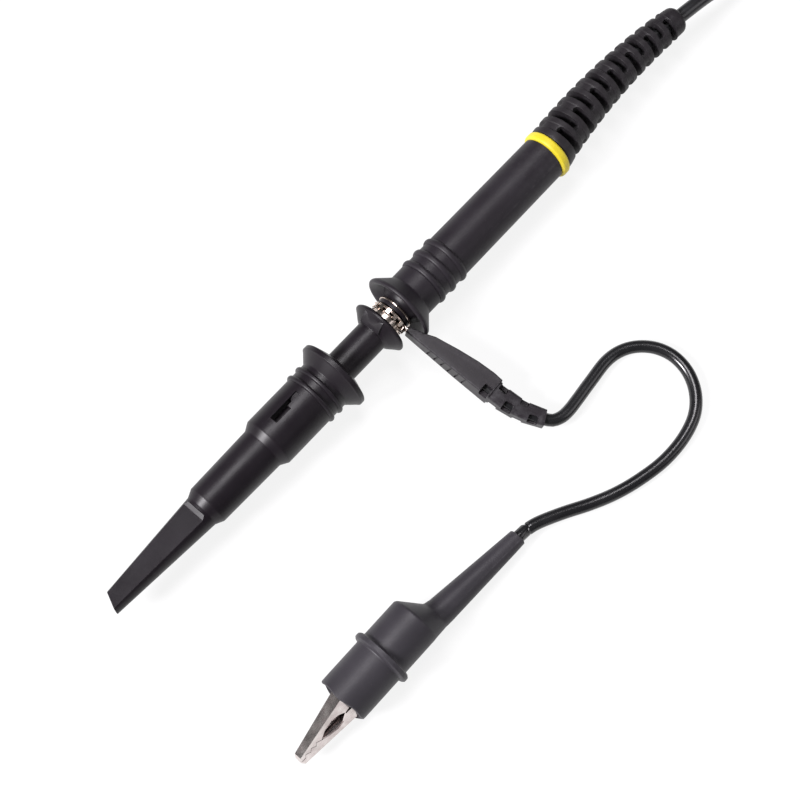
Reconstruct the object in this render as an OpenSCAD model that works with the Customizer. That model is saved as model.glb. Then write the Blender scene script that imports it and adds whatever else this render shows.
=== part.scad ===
// High-voltage passive oscilloscope probe: sliding hook tip, ground clip with a crocodile lead,
// handle with slotted cable boot, coiled coaxial cable, compensation box and BNC plug.
// The probe lies on a bench along X, tip towards -X. Lengths are in millimetres.

/* [Hook tip] */
// Diameter of the nose at its tip
nose_tip_d = 5.8; // [5.6:0.1:7]
// Diameter of the nose at its root
nose_root_d = 9.6; // [9:0.1:10.4]
// Length of the tapered nose
nose_len = 31; // [26:1:36]
// How far the oblique tip reaches past the nose's middle line
nose_bevel = 1.8; // [1:0.1:2.4]
// Depth of the nose's flat below its round side, at the root
nose_flat_depth = 1.5; // [1:0.1:1.8]
// Bore of the nose, where the hook slides
nose_bore_d = 3.4; // [3:0.1:3.7]
// Diameter of the front barrel at its front
front_barrel_d = 11.7; // [11.3:0.1:12]
// Diameter of the front barrel at its rear
front_barrel_rear_d = 12.4; // [12:0.1:13]
// Length of the front barrel
front_barrel_len = 20; // [16:1:26]
// Length of each cone between two barrels
step_cone_len = 2.2; // [1.5:0.1:3]
// Diameter of the rear barrel, which has the window
rear_barrel_d = 14.9; // [14:0.1:16]
// Length of the rear barrel, with its cone
rear_barrel_len = 15; // [13.5:0.5:20]
// Diameter of the two grip ribs
sleeve_rib_d = 16.2; // [15.6:0.1:17]
// Diameter of the finger flange
finger_flange_d = 20.7; // [18:0.1:21]
// Thickness of the finger flange's rim
flange_rim = 1.6; // [1.2:0.1:2.2]
// How far the hook sleeve slides back
sleeve_travel = 6.8; // [5:0.1:7.4]
// Angle by which the hook tip is turned about its axis
hook_turned = 9; // [0:1:30]
// Width of the window where the latch passes
window_w = 2; // [1.6:0.1:2.6]

/* [Hook barrel and hook] */
// Outer diameter of the inner barrel
barrel_d = 9.1; // [8.6:0.1:9.6]
// Diameter of the barrel's rear flange
barrel_flange_d = 16.2; // [14:0.1:18]
// Thickness of the barrel's rear flange, with its cone
barrel_flange_len = 3.2; // [2.6:0.1:4]
// Bore of the barrel, which plugs over the probe's insulator
barrel_bore_d = 5.1; // [4.8:0.1:5.4]
// Length of the barrel between the finger flange and the rear flange
barrel_bare_len = 13; // [9:0.5:16]
// Running clearance between sliding pieces, on the radius
slide_clear = 0.05; // [0.02:0.01:0.1]
// Wire diameter of the hook
hook_wire_d = 1; // [0.8:0.05:1.2]
// Wire diameter of the return spring
spring_wire_d = 0.7; // [0.5:0.05:0.9]
// Outer diameter of the return spring
spring_d = 7.8; // [6.5:0.1:8.2]

/* [Probe body] */
// Diameter of the nickel ground collar
collar_d = 8.8; // [8.2:0.1:9.4]
// Length of the collar in front of the handle flange
collar_bare_len = 6.2; // [5.4:0.1:7]
// Diameter of the insulator that carries the contact needle
insulator_d = 5; // [4.7:0.1:5.3]
// Diameter of the contact needle
needle_d = 1.2; // [0.9:0.05:1.5]
// Diameter of the handle's flange
handle_flange_d = 20.8; // [19:0.1:23]
// Depth of the hollow in the flange's front face
dish_depth = 2.4; // [1.5:0.1:3]
// Length of the cone behind the flange
flange_cone_len = 4; // [3:0.1:6]
// Diameter of the handle's barrel at the front
handle_d = 13.4; // [13:0.1:14.2]
// Diameter of the handle's barrel at the rear
handle_rear_d = 13.1; // [12.8:0.1:14]
// Diameter of the grip ribs
grip_rib_d = 14.6; // [14:0.1:15.6]
// Distance between two grip ribs
grip_rib_pitch = 4.15; // [3.6:0.05:5]
// Length of the handle from the flange's rim to the colour ring
handle_len = 59; // [50:1:70]
// Wall of the handle
handle_wall = 1.5; // [1.2:0.1:2]
// Diameter of the colour ring
color_ring_d = 14.6; // [14.2:0.1:15.6]
// Width of the colour ring
color_ring_w = 2.7; // [2:0.1:4]

/* [Cable boot] */
// Length of the cable boot
boot_len = 55.5; // [48:0.5:64]
// Diameter of the cable boot at the handle
boot_d = 13.8; // [12.6:0.1:14.2]
// Diameter of the cable boot at its end
boot_end_d = 8.4; // [7.6:0.1:9.2]
// Number of slots along the boot
slot_count = 13; // [7:1:15]
// Share of each slot's pitch that is open
slot_open = 0.42; // [0.35:0.01:0.55]
// Angle of each of the two webs that cross a slot
slot_web_angle = 42; // [30:1:60]
// Angle through which the boot bends
boot_turn = 15.4; // [6:0.2:24]

/* [Cable] */
// Diameter of the coaxial cable
cable_d = 4.15; // [3.8:0.05:4.3]
// Distance from turn to turn in the coil, sideways and up
coil_pitch = 4.75; // [4.7:0.05:5.4]
// Turns in the coil
coil_turns = 6.4167; // [4.4167:1:8.4167]
// Diameter of the coil at the middle of its turns
coil_mid_d = 49.6; // [48:0.1:60]
// Thickness of the tie round the coil
tie_thick = 0.6; // [0.4:0.1:0.8]
// Width of the tie
tie_w = 8; // [6:0.5:10]

/* [Compensation box] */
// Length of the box
box_len = 34; // [30:1:42]
// Width of the box
box_w = 15; // [14:0.5:20]
// Height of the box
box_h = 14.6; // [14.6:0.1:18]
// Wall of the box
box_wall = 1.3; // [1:0.1:1.6]
// Diameter of the trimmer's rotor
trimmer_d = 3.6; // [3:0.1:4]

/* [BNC plug] */
// Diameter of the bayonet collar
bnc_collar_d = 14.4; // [13.6:0.1:14.6]
// Length of the bayonet collar
bnc_collar_len = 14.5; // [13.5:0.1:16]
// Inner diameter of the collar, round the mating socket
bnc_mouth_d = 9.8; // [9.7:0.05:10.2]
// Diameter of the outer contact
bnc_contact_d = 8.1; // [8:0.02:8.2]
// Diameter of the centre pin
bnc_pin_d = 1.37; // [1.3:0.01:1.4]

/* [Ground clip] */
// Outer diameter of the clip's ring
ring_d = 10.9; // [10.4:0.1:11.6]
// Thickness of the ring along the probe
ring_thick = 1.2; // [0.8:0.1:1.6]
// Length of the clip's housing
clip_len = 27.6; // [24:0.4:32]
// Width of the housing at its rear
clip_w = 6.4; // [5.8:0.1:7]
// Height of the housing at its rear
clip_h = 6.4; // [6:0.1:7]
// Height of the housing at its mouth
clip_tip_h = 4; // [3.2:0.1:4.6]
// Number of grip grooves in the housing's side
groove_count = 6; // [3:1:7]
// Width of the slotted cable relief behind the housing
relief_w = 5.8; // [5.5:0.1:6]
// Length of one slotted block of the relief
relief_block = 3.45; // [3.25:0.05:3.8]

/* [Ground lead and crocodile clip] */
// Diameter of the ground lead
lead_d = 3.45; // [3.2:0.05:3.5]
// Outer diameter of the clip cover
cover_d = 13.9; // [13.5:0.1:14.6]
// Wall of the clip cover
cover_wall = 0.9; // [0.7:0.1:1]
// Diameter of the rib round the cover
cover_rib_d = 16.6; // [15.6:0.1:16.8]
// Length of the cover's wide part
cover_len = 27; // [26:0.5:32]
// Length of the cover's tail
tail_len = 34; // [28:0.5:36]
// Sheet thickness of the jaws
jaw_sheet = 0.5; // [0.4:0.05:0.6]
// Width of the jaws at the cover's mouth
jaw_w = 4.05; // [3.8:0.05:4.4]
// Width of the jaws at their tips
jaw_tip_w = 2.6; // [2.2:0.1:3]
// Diameter of the jaw pin
jaw_pin_d = 1.6; // [1.4:0.05:1.8]

/* [Hidden] */
$fn = 72;

function unit(v) = v / norm(v);
function lerp(a, b, t) = a + (b - a) * t;

// ---- stations along the probe, from the nose's tip ----
front_x = nose_len + step_cone_len;
mid_x = front_x + front_barrel_len;
rear_x = mid_x + rear_barrel_len + step_cone_len;
rib_pitch = 3.1;
rib_half_w = 0.8;
flange_front_x = rear_x + 2.4 * rib_pitch + 1.2;
sleeve_end_x = flange_front_x + flange_rim + 1.4;
barrel_flange_x = sleeve_end_x + barrel_bare_len;
barrel_end_x = barrel_flange_x + barrel_flange_len;
collar_x = barrel_end_x + 0.2;
handle_x = collar_x + collar_bare_len;
ring_x = handle_x - 3.1;
color_ring_x = handle_x + handle_len;
boot_x = color_ring_x + color_ring_w;
axis_h = max(finger_flange_d, handle_flange_d) / 2;

// the sleeve's inside
cavity_x = nose_len + 5;
barrel_front_x = cavity_x + 22;
barrel_r = barrel_d / 2;
bore_r = barrel_r + slide_clear;
latch_len = 2.6;
window_len = sleeve_travel + latch_len + 0.2;
window_end_x = rear_x - 1.6;
window_x = window_end_x - window_len;
hook_offset = 0.8;

// the clip's direction: turned towards the cable and sloping down to the bench
clip_yaw = 2.6;
clip_droop = 7;
clip_roll = -1;

// how far a cutting block reaches past what it cuts
reach = 20;

module on_bench() { translate([-origin_x, -origin_y, 0]) children(); }
module along_probe(x = 0) { on_bench() translate([x, 0, axis_h]) rotate([0, 90, 0]) children(); }
// a ring or tube turned from [radius, place] points along the probe
module turned(points) { rotate_extrude() polygon(points); }
// the outline of a rounded rib of half width w at x, rising from radius r0 to r1
function rib(r0, r1, x, w) = [for (a = [-90:30:90]) [lerp(r0, r1, cos(a)), x + w * sin(a)]];
module tube(d, bore, len) {
    difference() {
        cylinder(d = d, h = len);
        translate([0, 0, -1]) cylinder(d = bore, h = len + 2);
    }
}

// ---- swept tubes: a ring of points at each place, standing across the path ----
function tangent(p, i) = unit(p[min(i + 1, len(p) - 1)] - p[max(i - 1, 0)]);
function swept_ring(c, t, s, r, sides) =
    let (u = cross(s, t))
    [for (k = [0:sides - 1]) let (a = 360 * (k + 0.5) / sides) c + r * (cos(a) * s + sin(a) * u)];
// the faces of a tube of n rings
function swept_faces(n, sides) = concat(
    [[for (k = [0:sides - 1]) k]],
    [[for (k = [sides - 1:-1:0]) (n - 1) * sides + k]],
    [for (i = [0:n - 2])
        for (k = [0:sides - 1])
            let (a = i * sides + k, b = i * sides + (k + 1) % sides)
                each [[a, a + sides, b + sides], [a, b + sides, b]]]);
// along a path that is never upright
module swept(p, r, sides = 8) {
    rings = [for (i = [0:len(p) - 1]) let (t = tangent(p, i))
        each swept_ring(p[i], t, unit(cross(t, [0, 0, 1])), r, sides)];
    polyhedron(points = rings, faces = swept_faces(len(p), sides));
}
// along a helix round the given axis, [1, 0, 0] or [0, 1, 0]
module swept_helix(p, axis, r, sides) {
    across = [1, 1, 1] - axis;
    rings = [for (i = [0:len(p) - 1])
        let (t = tangent(p, i), out = unit([for (k = [0:2]) p[i][k] * across[k]]))
            each swept_ring(p[i], t, unit(cross(t, out)), r, sides)];
    polyhedron(points = rings, faces = swept_faces(len(p), sides));
}

// ================= hook tip =================
nose_taper = (nose_root_d - nose_tip_d) / 2 / nose_len;

module hook_sleeve() {
    rib_in = rear_barrel_d / 2;
    rib_out = sleeve_rib_d / 2;
    rib_1 = rear_x + 0.8;
    rib_2 = rib_1 + rib_pitch;
    flare = rib_2 + rib_pitch;
    color([0.1, 0.1, 0.11]) along_probe() rotate([0, 0, -hook_turned]) difference() {
        turned([
            [0, -nose_bevel], [nose_tip_d / 2 - nose_bevel * nose_taper, -nose_bevel],
            [nose_root_d / 2, nose_len], [front_barrel_d / 2, front_x],
            [front_barrel_rear_d / 2, mid_x], [rear_barrel_d / 2, mid_x + step_cone_len],
            each rib(rib_in, rib_out, rib_1, rib_half_w), each rib(rib_in, rib_out, rib_2, rib_half_w),
            [rib_in, flare - 0.9], [rib_out - 0.1, flare - 0.1],
            [finger_flange_d / 2 - 0.5, flange_front_x - 0.5],
            [finger_flange_d / 2, flange_front_x + 0.3],
            [finger_flange_d / 2, flange_front_x + flange_rim - 0.4],
            [finger_flange_d / 2 - 0.6, flange_front_x + flange_rim],
            [barrel_r + 2.6, sleeve_end_x - 0.3], [barrel_r + 1.4, sleeve_end_x], [0, sleeve_end_x]]);
        // nose bore and barrel bore
        translate([0, 0, -nose_bevel - 1]) cylinder(d = nose_bore_d, h = cavity_x + nose_bevel + 2);
        translate([0, 0, cavity_x]) cylinder(r = bore_r, h = sleeve_end_x - cavity_x + 1);
        // flat on the nose, facing up, with a rounded end
        translate([-flat_r, 0, flat_end_x]) rotate([0, -atan(nose_taper * flat_share), 0]) {
            translate([-reach, -reach / 2, -nose_len - reach]) cube([reach, reach, nose_len + reach]);
            translate([-flat_end_r, -reach / 2, 0]) rotate([-90, 0, 0]) cylinder(r = flat_end_r, h = reach);
        }
        // oblique tip
        translate([0, 0, nose_cut_x]) rotate([nose_cut_angle, 0, 0])
            translate([-reach / 2, -reach / 2, -reach]) cube([reach, reach, reach]);
        // window for the latch: wide in front, half as wide behind
        translate([-rear_barrel_d, -window_w / 2, window_x])
            cube([rear_barrel_d, window_w, window_len * 0.55]);
        translate([-rear_barrel_d, 0, window_x]) cube([rear_barrel_d, window_w / 2, window_len]);
    }
}
nose_cut_angle = 22;
nose_cut_x = -0.5;
// the nose's flat tapers with the nose, and ends in a hollow just before the nose's root
flat_end_r = 2;
flat_share = 1 - nose_flat_depth / (nose_root_d / 2);
flat_end_x = nose_len - 1.2 - sqrt(pow(flat_end_r, 2) - pow(flat_end_r - nose_flat_depth, 2));
flat_r = flat_share * (nose_tip_d / 2 + nose_taper * flat_end_x);

module hook_barrel() {
    flange_r = barrel_flange_d / 2;
    lug_x = window_end_x - latch_len;
    key_w = 6.6;
    key_r = sqrt(pow(flange_r, 2) - pow(key_w / 2, 2)) - 0.1;
    color([0.12, 0.12, 0.13]) along_probe() rotate([0, 0, -hook_turned]) {
        difference() {
            union() {
                turned([[0, barrel_front_x], [barrel_r, barrel_front_x], [barrel_r, barrel_flange_x - 0.6],
                    [barrel_r + 1, barrel_flange_x], [flange_r - 0.9, barrel_flange_x + 1.5],
                    [flange_r, barrel_flange_x + 2.2], [flange_r, barrel_end_x - 0.5],
                    [flange_r - 0.5, barrel_end_x], [0, barrel_end_x]]);
                // flat key on the flange's cone, facing up
                rotate([90, 0, 0]) linear_extrude(key_w, center = true) polygon([
                    [0, barrel_flange_x - 1.4], [-barrel_r, barrel_flange_x - 1.4],
                    [-key_r, barrel_flange_x + 1.8], [-key_r, barrel_end_x - 0.6],
                    [0, barrel_end_x - 0.6]]);
                // latch lug, standing in the window's narrow end
                translate([-rear_barrel_d / 2 + 0.5, 0.12, lug_x])
                    cube([rear_barrel_d / 2 - 3.5, window_w / 2 - 0.24, latch_len - 0.1]);
            }
            translate([0, 0, barrel_front_x + 2]) cylinder(d = barrel_bore_d, h = barrel_end_x);
            translate([0, 0, barrel_front_x - 1]) cylinder(d = socket_neck_d + 0.04, h = 4);
        }
    }
}
socket_neck_d = 3.4;
socket_x = barrel_front_x + 2.1;

module hook_wire() {
    r = hook_wire_d / 2;
    bend = hook_offset;
    color([0.78, 0.76, 0.72]) along_probe() rotate([0, 0, -hook_turned]) {
        translate([bend, 0, 1.6]) cylinder(r = r, h = socket_x + 1.2 - 1.6, $fn = 24);
        translate([0, 0, 1.6]) rotate([90, 0, 0]) rotate([0, 0, 180])
            rotate_extrude(angle = 180, $fn = 32) translate([bend, 0]) circle(r = r, $fn = 24);
        translate([-bend, 0, 1.6]) cylinder(r = r, h = 1.6, $fn = 24);
    }
}

spring_turns = 8;
spring_gap = 0.3;
spring_points = let (
        r = (spring_d - spring_wire_d) / 2,
        x0 = cavity_x + spring_gap + spring_wire_d / 2,
        x1 = barrel_front_x - spring_gap - spring_wire_d / 2)
    [for (k = [0:spring_turns * 8])
        let (a = 45 * k) [lerp(x0, x1, k / (spring_turns * 8)), r * cos(a), r * sin(a)]];
module hook_spring() {
    color([0.7, 0.7, 0.72]) on_bench() translate([0, 0, axis_h]) swept_helix(spring_points,
        [1, 0, 0], spring_wire_d / 2, 6);
}
socket_len = 8;
needle_in = 1;
module contact_socket() {
    socket_d = barrel_bore_d - 0.1;
    color([0.83, 0.7, 0.4]) along_probe() difference() {
        union() {
            translate([0, 0, barrel_front_x + 0.1]) cylinder(d = socket_neck_d, h = 2);
            translate([0, 0, socket_x]) cylinder(d = socket_d, h = socket_len);
        }
        rotate([0, 0, -hook_turned]) translate([hook_offset, 0, 0])
            cylinder(d = hook_wire_d + 0.04, h = socket_x + 1.2, $fn = 24);
        translate([0, 0, needle_x - needle_in]) cylinder(d = needle_d + 0.04, h = socket_len, $fn = 24);
    }
}

// ================= probe body =================
insulator_x = socket_x + socket_len + 0.4;
// how far the collar and the insulator reach into the handle
collar_in_len = 6;
insulator_in_len = 7.8;
module ground_collar() {
    r = collar_d / 2;
    groove_r = r - 0.35;
    color([0.8, 0.79, 0.76]) along_probe() turned([
        [insulator_d / 2 + 0.03, collar_x], [r - 0.4, collar_x], [r, collar_x + 0.4],
        [r, ring_x - ring_thick / 2 - 0.1], [groove_r, ring_x - ring_thick / 2 - 0.1],
        [groove_r, ring_x + ring_thick / 2 + 0.1], [r, ring_x + ring_thick / 2 + 0.1],
        [r, bay_x], [board_bay_r - 0.03, bay_x], [board_bay_r - 0.03, bay_x + collar_in_len],
        [insulator_d / 2 + 0.03, bay_x + collar_in_len]]);
}
board_bay_r = handle_d / 2 - handle_wall;
bay_x = handle_x + dish_depth + 1.7;

module insulator() {
    color([0.85, 0.84, 0.8]) along_probe() difference() {
        translate([0, 0, insulator_x])
            cylinder(d = insulator_d, h = handle_x + insulator_in_len - insulator_x);
        translate([0, 0, insulator_x - 1]) cylinder(d = needle_d + 0.02, h = board_x - insulator_x, $fn = 24);
    }
}

needle_x = socket_x + 3;
board_setback = 17;
board_x = handle_x + board_setback;
module contact_needle() {
    color([0.85, 0.72, 0.42]) along_probe() {
        translate([0, 0, needle_x]) cylinder(d1 = 0.5, d2 = needle_d, h = 1.2, $fn = 24);
        translate([0, 0, needle_x + 1.2]) cylinder(d = needle_d, h = board_x - needle_x - 1.2, $fn = 24);
    }
}

shield_x = bay_x + collar_in_len + 0.1;
shield_end_x = color_ring_x - 6;
shield_r = board_bay_r - 0.03;
module shield_tube() {
    color([0.75, 0.74, 0.7]) along_probe() translate([0, 0, shield_x])
        tube(2 * shield_r, 2 * (shield_r - 0.4), shield_end_x - shield_x);
}

board_w = 2 * (shield_r - 0.4) - 1.6;
board_len = shield_end_x - board_x - 3;
module circuit_board() {
    color([0.12, 0.36, 0.22]) on_bench() translate([board_x, -board_w / 2, axis_h - 1.6])
        cube([board_len, board_w, 1]);
}
// the parts on the board: the resistor on two leads, and a capacitor behind it
resistor_x = board_x + 3;
board_spare = 9;
resistor_span = board_len - board_spare;
resistor_d = 3.2;
resistor_lead_d = 0.7;
capacitor_len = 4.4;
module divider_resistor() {
    board_top_z = axis_h - 0.6;
    color([0.3, 0.5, 0.75]) on_bench() translate([resistor_x, 0, board_top_z]) {
        translate([4, 0, resistor_d / 2]) rotate([0, 90, 0])
            cylinder(d = resistor_d, h = resistor_span - 8);
        translate([0, 0, resistor_d / 2]) rotate([0, 90, 0])
            cylinder(d = resistor_lead_d, h = resistor_span, $fn = 24);
        for (x = [0, resistor_span]) translate([x, 0, 0])
            cylinder(d = resistor_lead_d, h = resistor_d / 2, $fn = 24);
    }
}
module tip_capacitor() {
    color([0.75, 0.45, 0.2]) on_bench()
        translate([board_x + board_len - capacitor_len - 0.4, -1.6, axis_h - 0.6])
            cube([capacitor_len, 3.2, 1.8]);
}

rib_1_x = handle_x + 10.3;
module handle_shell() {
    flange_r = handle_flange_d / 2;
    neck_r = grip_rib_d / 2 + 0.15;
    front_r = handle_d / 2 + 0.1;
    rib_r = grip_rib_d / 2;
    valley_r = handle_d / 2;
    cone_x = handle_x + flange_cone_len;
    seat_r = color_ring_d / 2 - 1.2;
    color([0.2, 0.2, 0.21]) along_probe() difference() {
        turned([
            [collar_d / 2 + 0.03, handle_x + dish_depth], [collar_d / 2 + 1.6, handle_x + dish_depth],
            [flange_r - 2.2, handle_x + 0.5], [flange_r - 1.1, handle_x - 0.2],
            [flange_r - 0.5, handle_x - 0.3],
            [flange_r, handle_x + 0.2], [flange_r - 0.2, handle_x + 0.9], [flange_r - 1.6, handle_x + 1.9],
            [neck_r, cone_x], [front_r, cone_x + 1.6],
            [front_r, rib_1_x - 1.1],
            each [for (k = [0:2]) each rib(valley_r, rib_r, rib_1_x + k * grip_rib_pitch, 0.95)],
            [handle_d / 2, rib_1_x + 3 * grip_rib_pitch - 1.1],
            [handle_rear_d / 2, color_ring_x], [seat_r, color_ring_x], [seat_r, boot_x],
            [collar_d / 2 + 0.03, boot_x]]);
        translate([0, 0, bay_x])
            cylinder(r = board_bay_r, h = shield_end_x - bay_x + 0.2);
        translate([0, 0, color_ring_x - 10]) cylinder(d = ferrule_d + 0.06, h = 20);
        translate([0, 0, boot_x - spigot_len - 0.1]) cylinder(d = spigot_d + 0.06, h = spigot_len + 1);
    }
}
ferrule_d = 7;
spigot_d = 10;
spigot_len = 3.5;
module color_ring() {
    color([0.86, 0.8, 0.2]) along_probe() turned([
        [color_ring_d / 2 - 1.17, color_ring_x], [color_ring_d / 2 - 0.5, color_ring_x],
        [color_ring_d / 2, color_ring_x + 0.6], [color_ring_d / 2, boot_x - 0.6],
        [color_ring_d / 2 - 0.5, boot_x], [color_ring_d / 2 - 1.17, boot_x]]);
}
module crimp_ferrule() {
    color([0.72, 0.7, 0.66]) along_probe() translate([0, 0, shield_end_x + 0.4])
        tube(ferrule_d, cable_d + 0.06, boot_x - spigot_len - 0.2 - shield_end_x - 0.4);
}

// ---- slotted boot, bent in an arc that turns from +Y back to -Y ----
arc_r = boot_len * 180 / PI / boot_turn;
function boot_heading(u) = boot_turn / 2 - boot_turn * u / boot_len;
function boot_point(u) = [
    boot_x + arc_r * (sin(boot_turn / 2) - sin(boot_heading(u))),
    boot_lift + arc_r * (cos(boot_heading(u)) - cos(boot_turn / 2)), axis_h];
boot_lift = 0.25;
module along_boot(u) {
    on_bench() translate(boot_point(u)) rotate([0, 0, boot_heading(u)]) rotate([0, 90, 0]) children();
}
boot_base_len = 3.6;
base_turn_in = boot_d / 2 * sin(boot_turn / 2) + 0.02;
web_turned = -22;
boot_cap_len = 4.6;
cap_end_r = cable_d / 2 + 0.5;
slot_pitch = (boot_len - boot_base_len - boot_cap_len) / (slot_count - 1 + slot_open);
boot_bore = cable_d + 0.3;
// bores of neighbouring slices differ by this, so their walls never graze each other
bore_step = 0.3;
module cable_boot() {
    function boot_dia(u) = lerp(boot_d, boot_end_d, u / boot_len);
    slot_len = slot_pitch * slot_open;
    web_len = slot_pitch - slot_len;
    color([0.2, 0.2, 0.21]) {
        // base collar and end collar
        difference() {
            union() {
                along_probe(boot_x - spigot_len) cylinder(d = spigot_d, h = spigot_len + 1);
                along_probe(boot_x) cylinder(d = boot_d, h = boot_base_len / 2);
                along_boot(0) translate([0, 0, base_turn_in])
                    cylinder(d = boot_d, h = boot_base_len + 0.05 - base_turn_in);
            }
            along_probe(boot_x - spigot_len - 1) cylinder(d = boot_bore + 0.8, h = spigot_len + 2);
            along_boot(0) translate([0, 0, -1]) cylinder(d = boot_bore, h = boot_base_len + 3);
        }
        along_boot(boot_len - boot_cap_len) translate([0, 0, -0.05]) difference() {
            union() {
                cylinder(d1 = boot_end_d, d2 = boot_end_d - 0.1, h = boot_cap_len * 0.4);
                translate([0, 0, boot_cap_len * 0.4 - 0.01])
                    cylinder(d1 = boot_end_d - 0.1, d2 = boot_end_d - 1, h = boot_cap_len * 0.35);
                translate([0, 0, boot_cap_len * 0.75 - 0.02])
                    cylinder(d1 = boot_end_d - 1, d2 = 2 * cap_end_r, h = boot_cap_len * 0.25);
            }
            translate([0, 0, -1]) cylinder(d = boot_bore, h = boot_cap_len + 3);
        }
        for (k = [0:slot_count - 1]) let (u = boot_base_len + k * slot_pitch, d = boot_dia(u)) {
            // two webs across the slot, turned a quarter from one slot to the next
            along_boot(u) rotate([0, 0, web_turned + 90 * (k % 2)]) difference() {
                intersection() {
                    translate([0, 0, -0.15]) cylinder(d = d - 1.2, h = slot_len + 0.3);
                    union() {
                        sector(d, slot_web_angle, slot_len + 0.6);
                        rotate([0, 0, 180]) sector(d, slot_web_angle, slot_len + 0.6);
                    }
                }
                translate([0, 0, -1]) cylinder(d = boot_bore + bore_step, h = slot_len + 3);
            }
            // the disc behind the slot
            if (k < slot_count - 1) along_boot(u + slot_len) difference() {
                cylinder(d1 = d, d2 = boot_dia(u + slot_pitch), h = web_len + 0.05);
                translate([0, 0, -1]) cylinder(d = boot_bore, h = web_len + 3);
            }
        }
    }
}
// a wedge of the given angle about the Z axis, from 1 mm off the axis outwards
module sector(d, angle, h) {
    translate([0, 0, -0.3]) linear_extrude(h)
        polygon([for (r = [1, d], side = (r == 1 ? [1, -1] : [-1, 1]))
            r * [cos(angle / 2), side * sin(angle / 2)]]);
}
boot_steps = 14;
module boot_cable() {
    color([0.06, 0.06, 0.07]) on_bench()
        swept(concat([[shield_end_x + 1, 0, axis_h], [boot_x - spigot_len - 1, 0, axis_h]],
            [for (k = [0:boot_steps]) boot_point(boot_len * k / boot_steps)]), cable_d / 2, 12);
}

// ================= cable =================
coil_c = [boot_point(boot_len)[0] + 68.33, -37];
coil_z = tie_thick + 0.05 + cable_d / 2;
coil_out_r = coil_mid_d / 2 + coil_pitch * coil_turns / 4;
function coil_r(t) = coil_out_r - coil_pitch * min(t, coil_turns - t);
function coil_rise(t) = coil_pitch * min(1, max(0, (t - coil_turns / 2 + 0.25) / 0.5));
function coil_point(t) = let (a = 90 - 360 * t)
    [coil_c[0] + coil_r(t) * cos(a), coil_c[1] + coil_r(t) * sin(a), coil_z + coil_rise(t)];
coil_steps = ceil(24 * coil_turns);
tail_dir = [sin(90 - 360 * coil_turns), -cos(90 - 360 * coil_turns), 0];
coil_first = coil_point(0) - [cable_d, 0, 0];
coil_last = coil_point(coil_turns) + cable_d * tail_dir;
coil_points = concat([coil_first], [for (k = [0:coil_steps]) coil_point(coil_turns * k / coil_steps)],
    [coil_last]);
// least distance between the middles of two stretches of the coil that are not neighbours
coil_gap = min([for (i = [0:len(coil_points) - 1]) for (j = [i + 12:len(coil_points) - 1])
    norm(coil_points[i] - coil_points[j])]) - cable_d;
spring_coil_gap = min([for (i = [0:len(spring_points) - 1]) for (j = [i + 5:len(spring_points) - 1])
    norm(spring_points[i] - spring_points[j])]) - spring_wire_d;
echo(coil_gap = coil_gap, spring_coil_gap = spring_coil_gap);

// the free stretch from the boot to the coil; x is counted from the boot's end
cable_route = [for (p = [
        [10.3, -1, 9.9], [17.3, -1.9, 8.5], [24.3, -2.7, 6.8], [31.3, -3.4, 5.2], [38.3, -4, 3.9],
        [47.3, -4.4, 3]]) p + [boot_point(boot_len)[0], 0, 0]];
module cable_run() {
    start = boot_point(boot_len);
    out = unit(start - boot_point(boot_len * (1 - 1 / boot_steps)));
    color([0.06, 0.06, 0.07]) on_bench()
        swept(concat([start, start + cable_d * out], cable_route,
            [coil_first - [cable_d, 0, 0], coil_first]),
            cable_d / 2, 10);
}
module cable_coil() { color([0.06, 0.06, 0.07]) on_bench() swept(coil_points, cable_d / 2, 6); }

// the tie: a flat band round the bundle of turns, on the side away from both ends
tie_angle = 200;
tie_t = (90 - tie_angle + 360) / 360;
tie_out = coil_r(tie_t) + cable_d / 2 + 0.2;
tie_in_mid = coil_r(tie_t + floor(coil_turns / 2 - tie_t)) - cable_d / 2 - 0.3;
tie_in = sqrt(tie_in_mid ^ 2 - (tie_w / 2) ^ 2);
module coil_tie() {
    in_w = tie_out - tie_in;
    in_h = coil_pitch + cable_d + 0.1;
    color([0.1, 0.1, 0.1]) on_bench() translate([coil_c[0], coil_c[1], 0]) rotate([0, 0, tie_angle])
        translate([(tie_out + tie_in) / 2, -tie_w / 2, in_h / 2 + tie_thick]) rotate([-90, 0, 0])
        linear_extrude(tie_w) difference() {
            square([in_w + 2 * tie_thick, in_h + 2 * tie_thick], center = true);
            square([in_w, in_h], center = true);
        }
}

box_axis_h = box_h / 2;
tail_len_free = 12;
box_boot_len = 12;
box_start = [coil_last[0] + tail_len_free * tail_dir[0], coil_last[1]
    + tail_len_free * tail_dir[1], box_axis_h];
tail_route = [coil_last, coil_last + cable_d * tail_dir, box_start - cable_d * tail_dir, box_start];
module cable_tail() { color([0.06, 0.06, 0.07]) on_bench() swept(tail_route, cable_d / 2, 10); }

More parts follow.
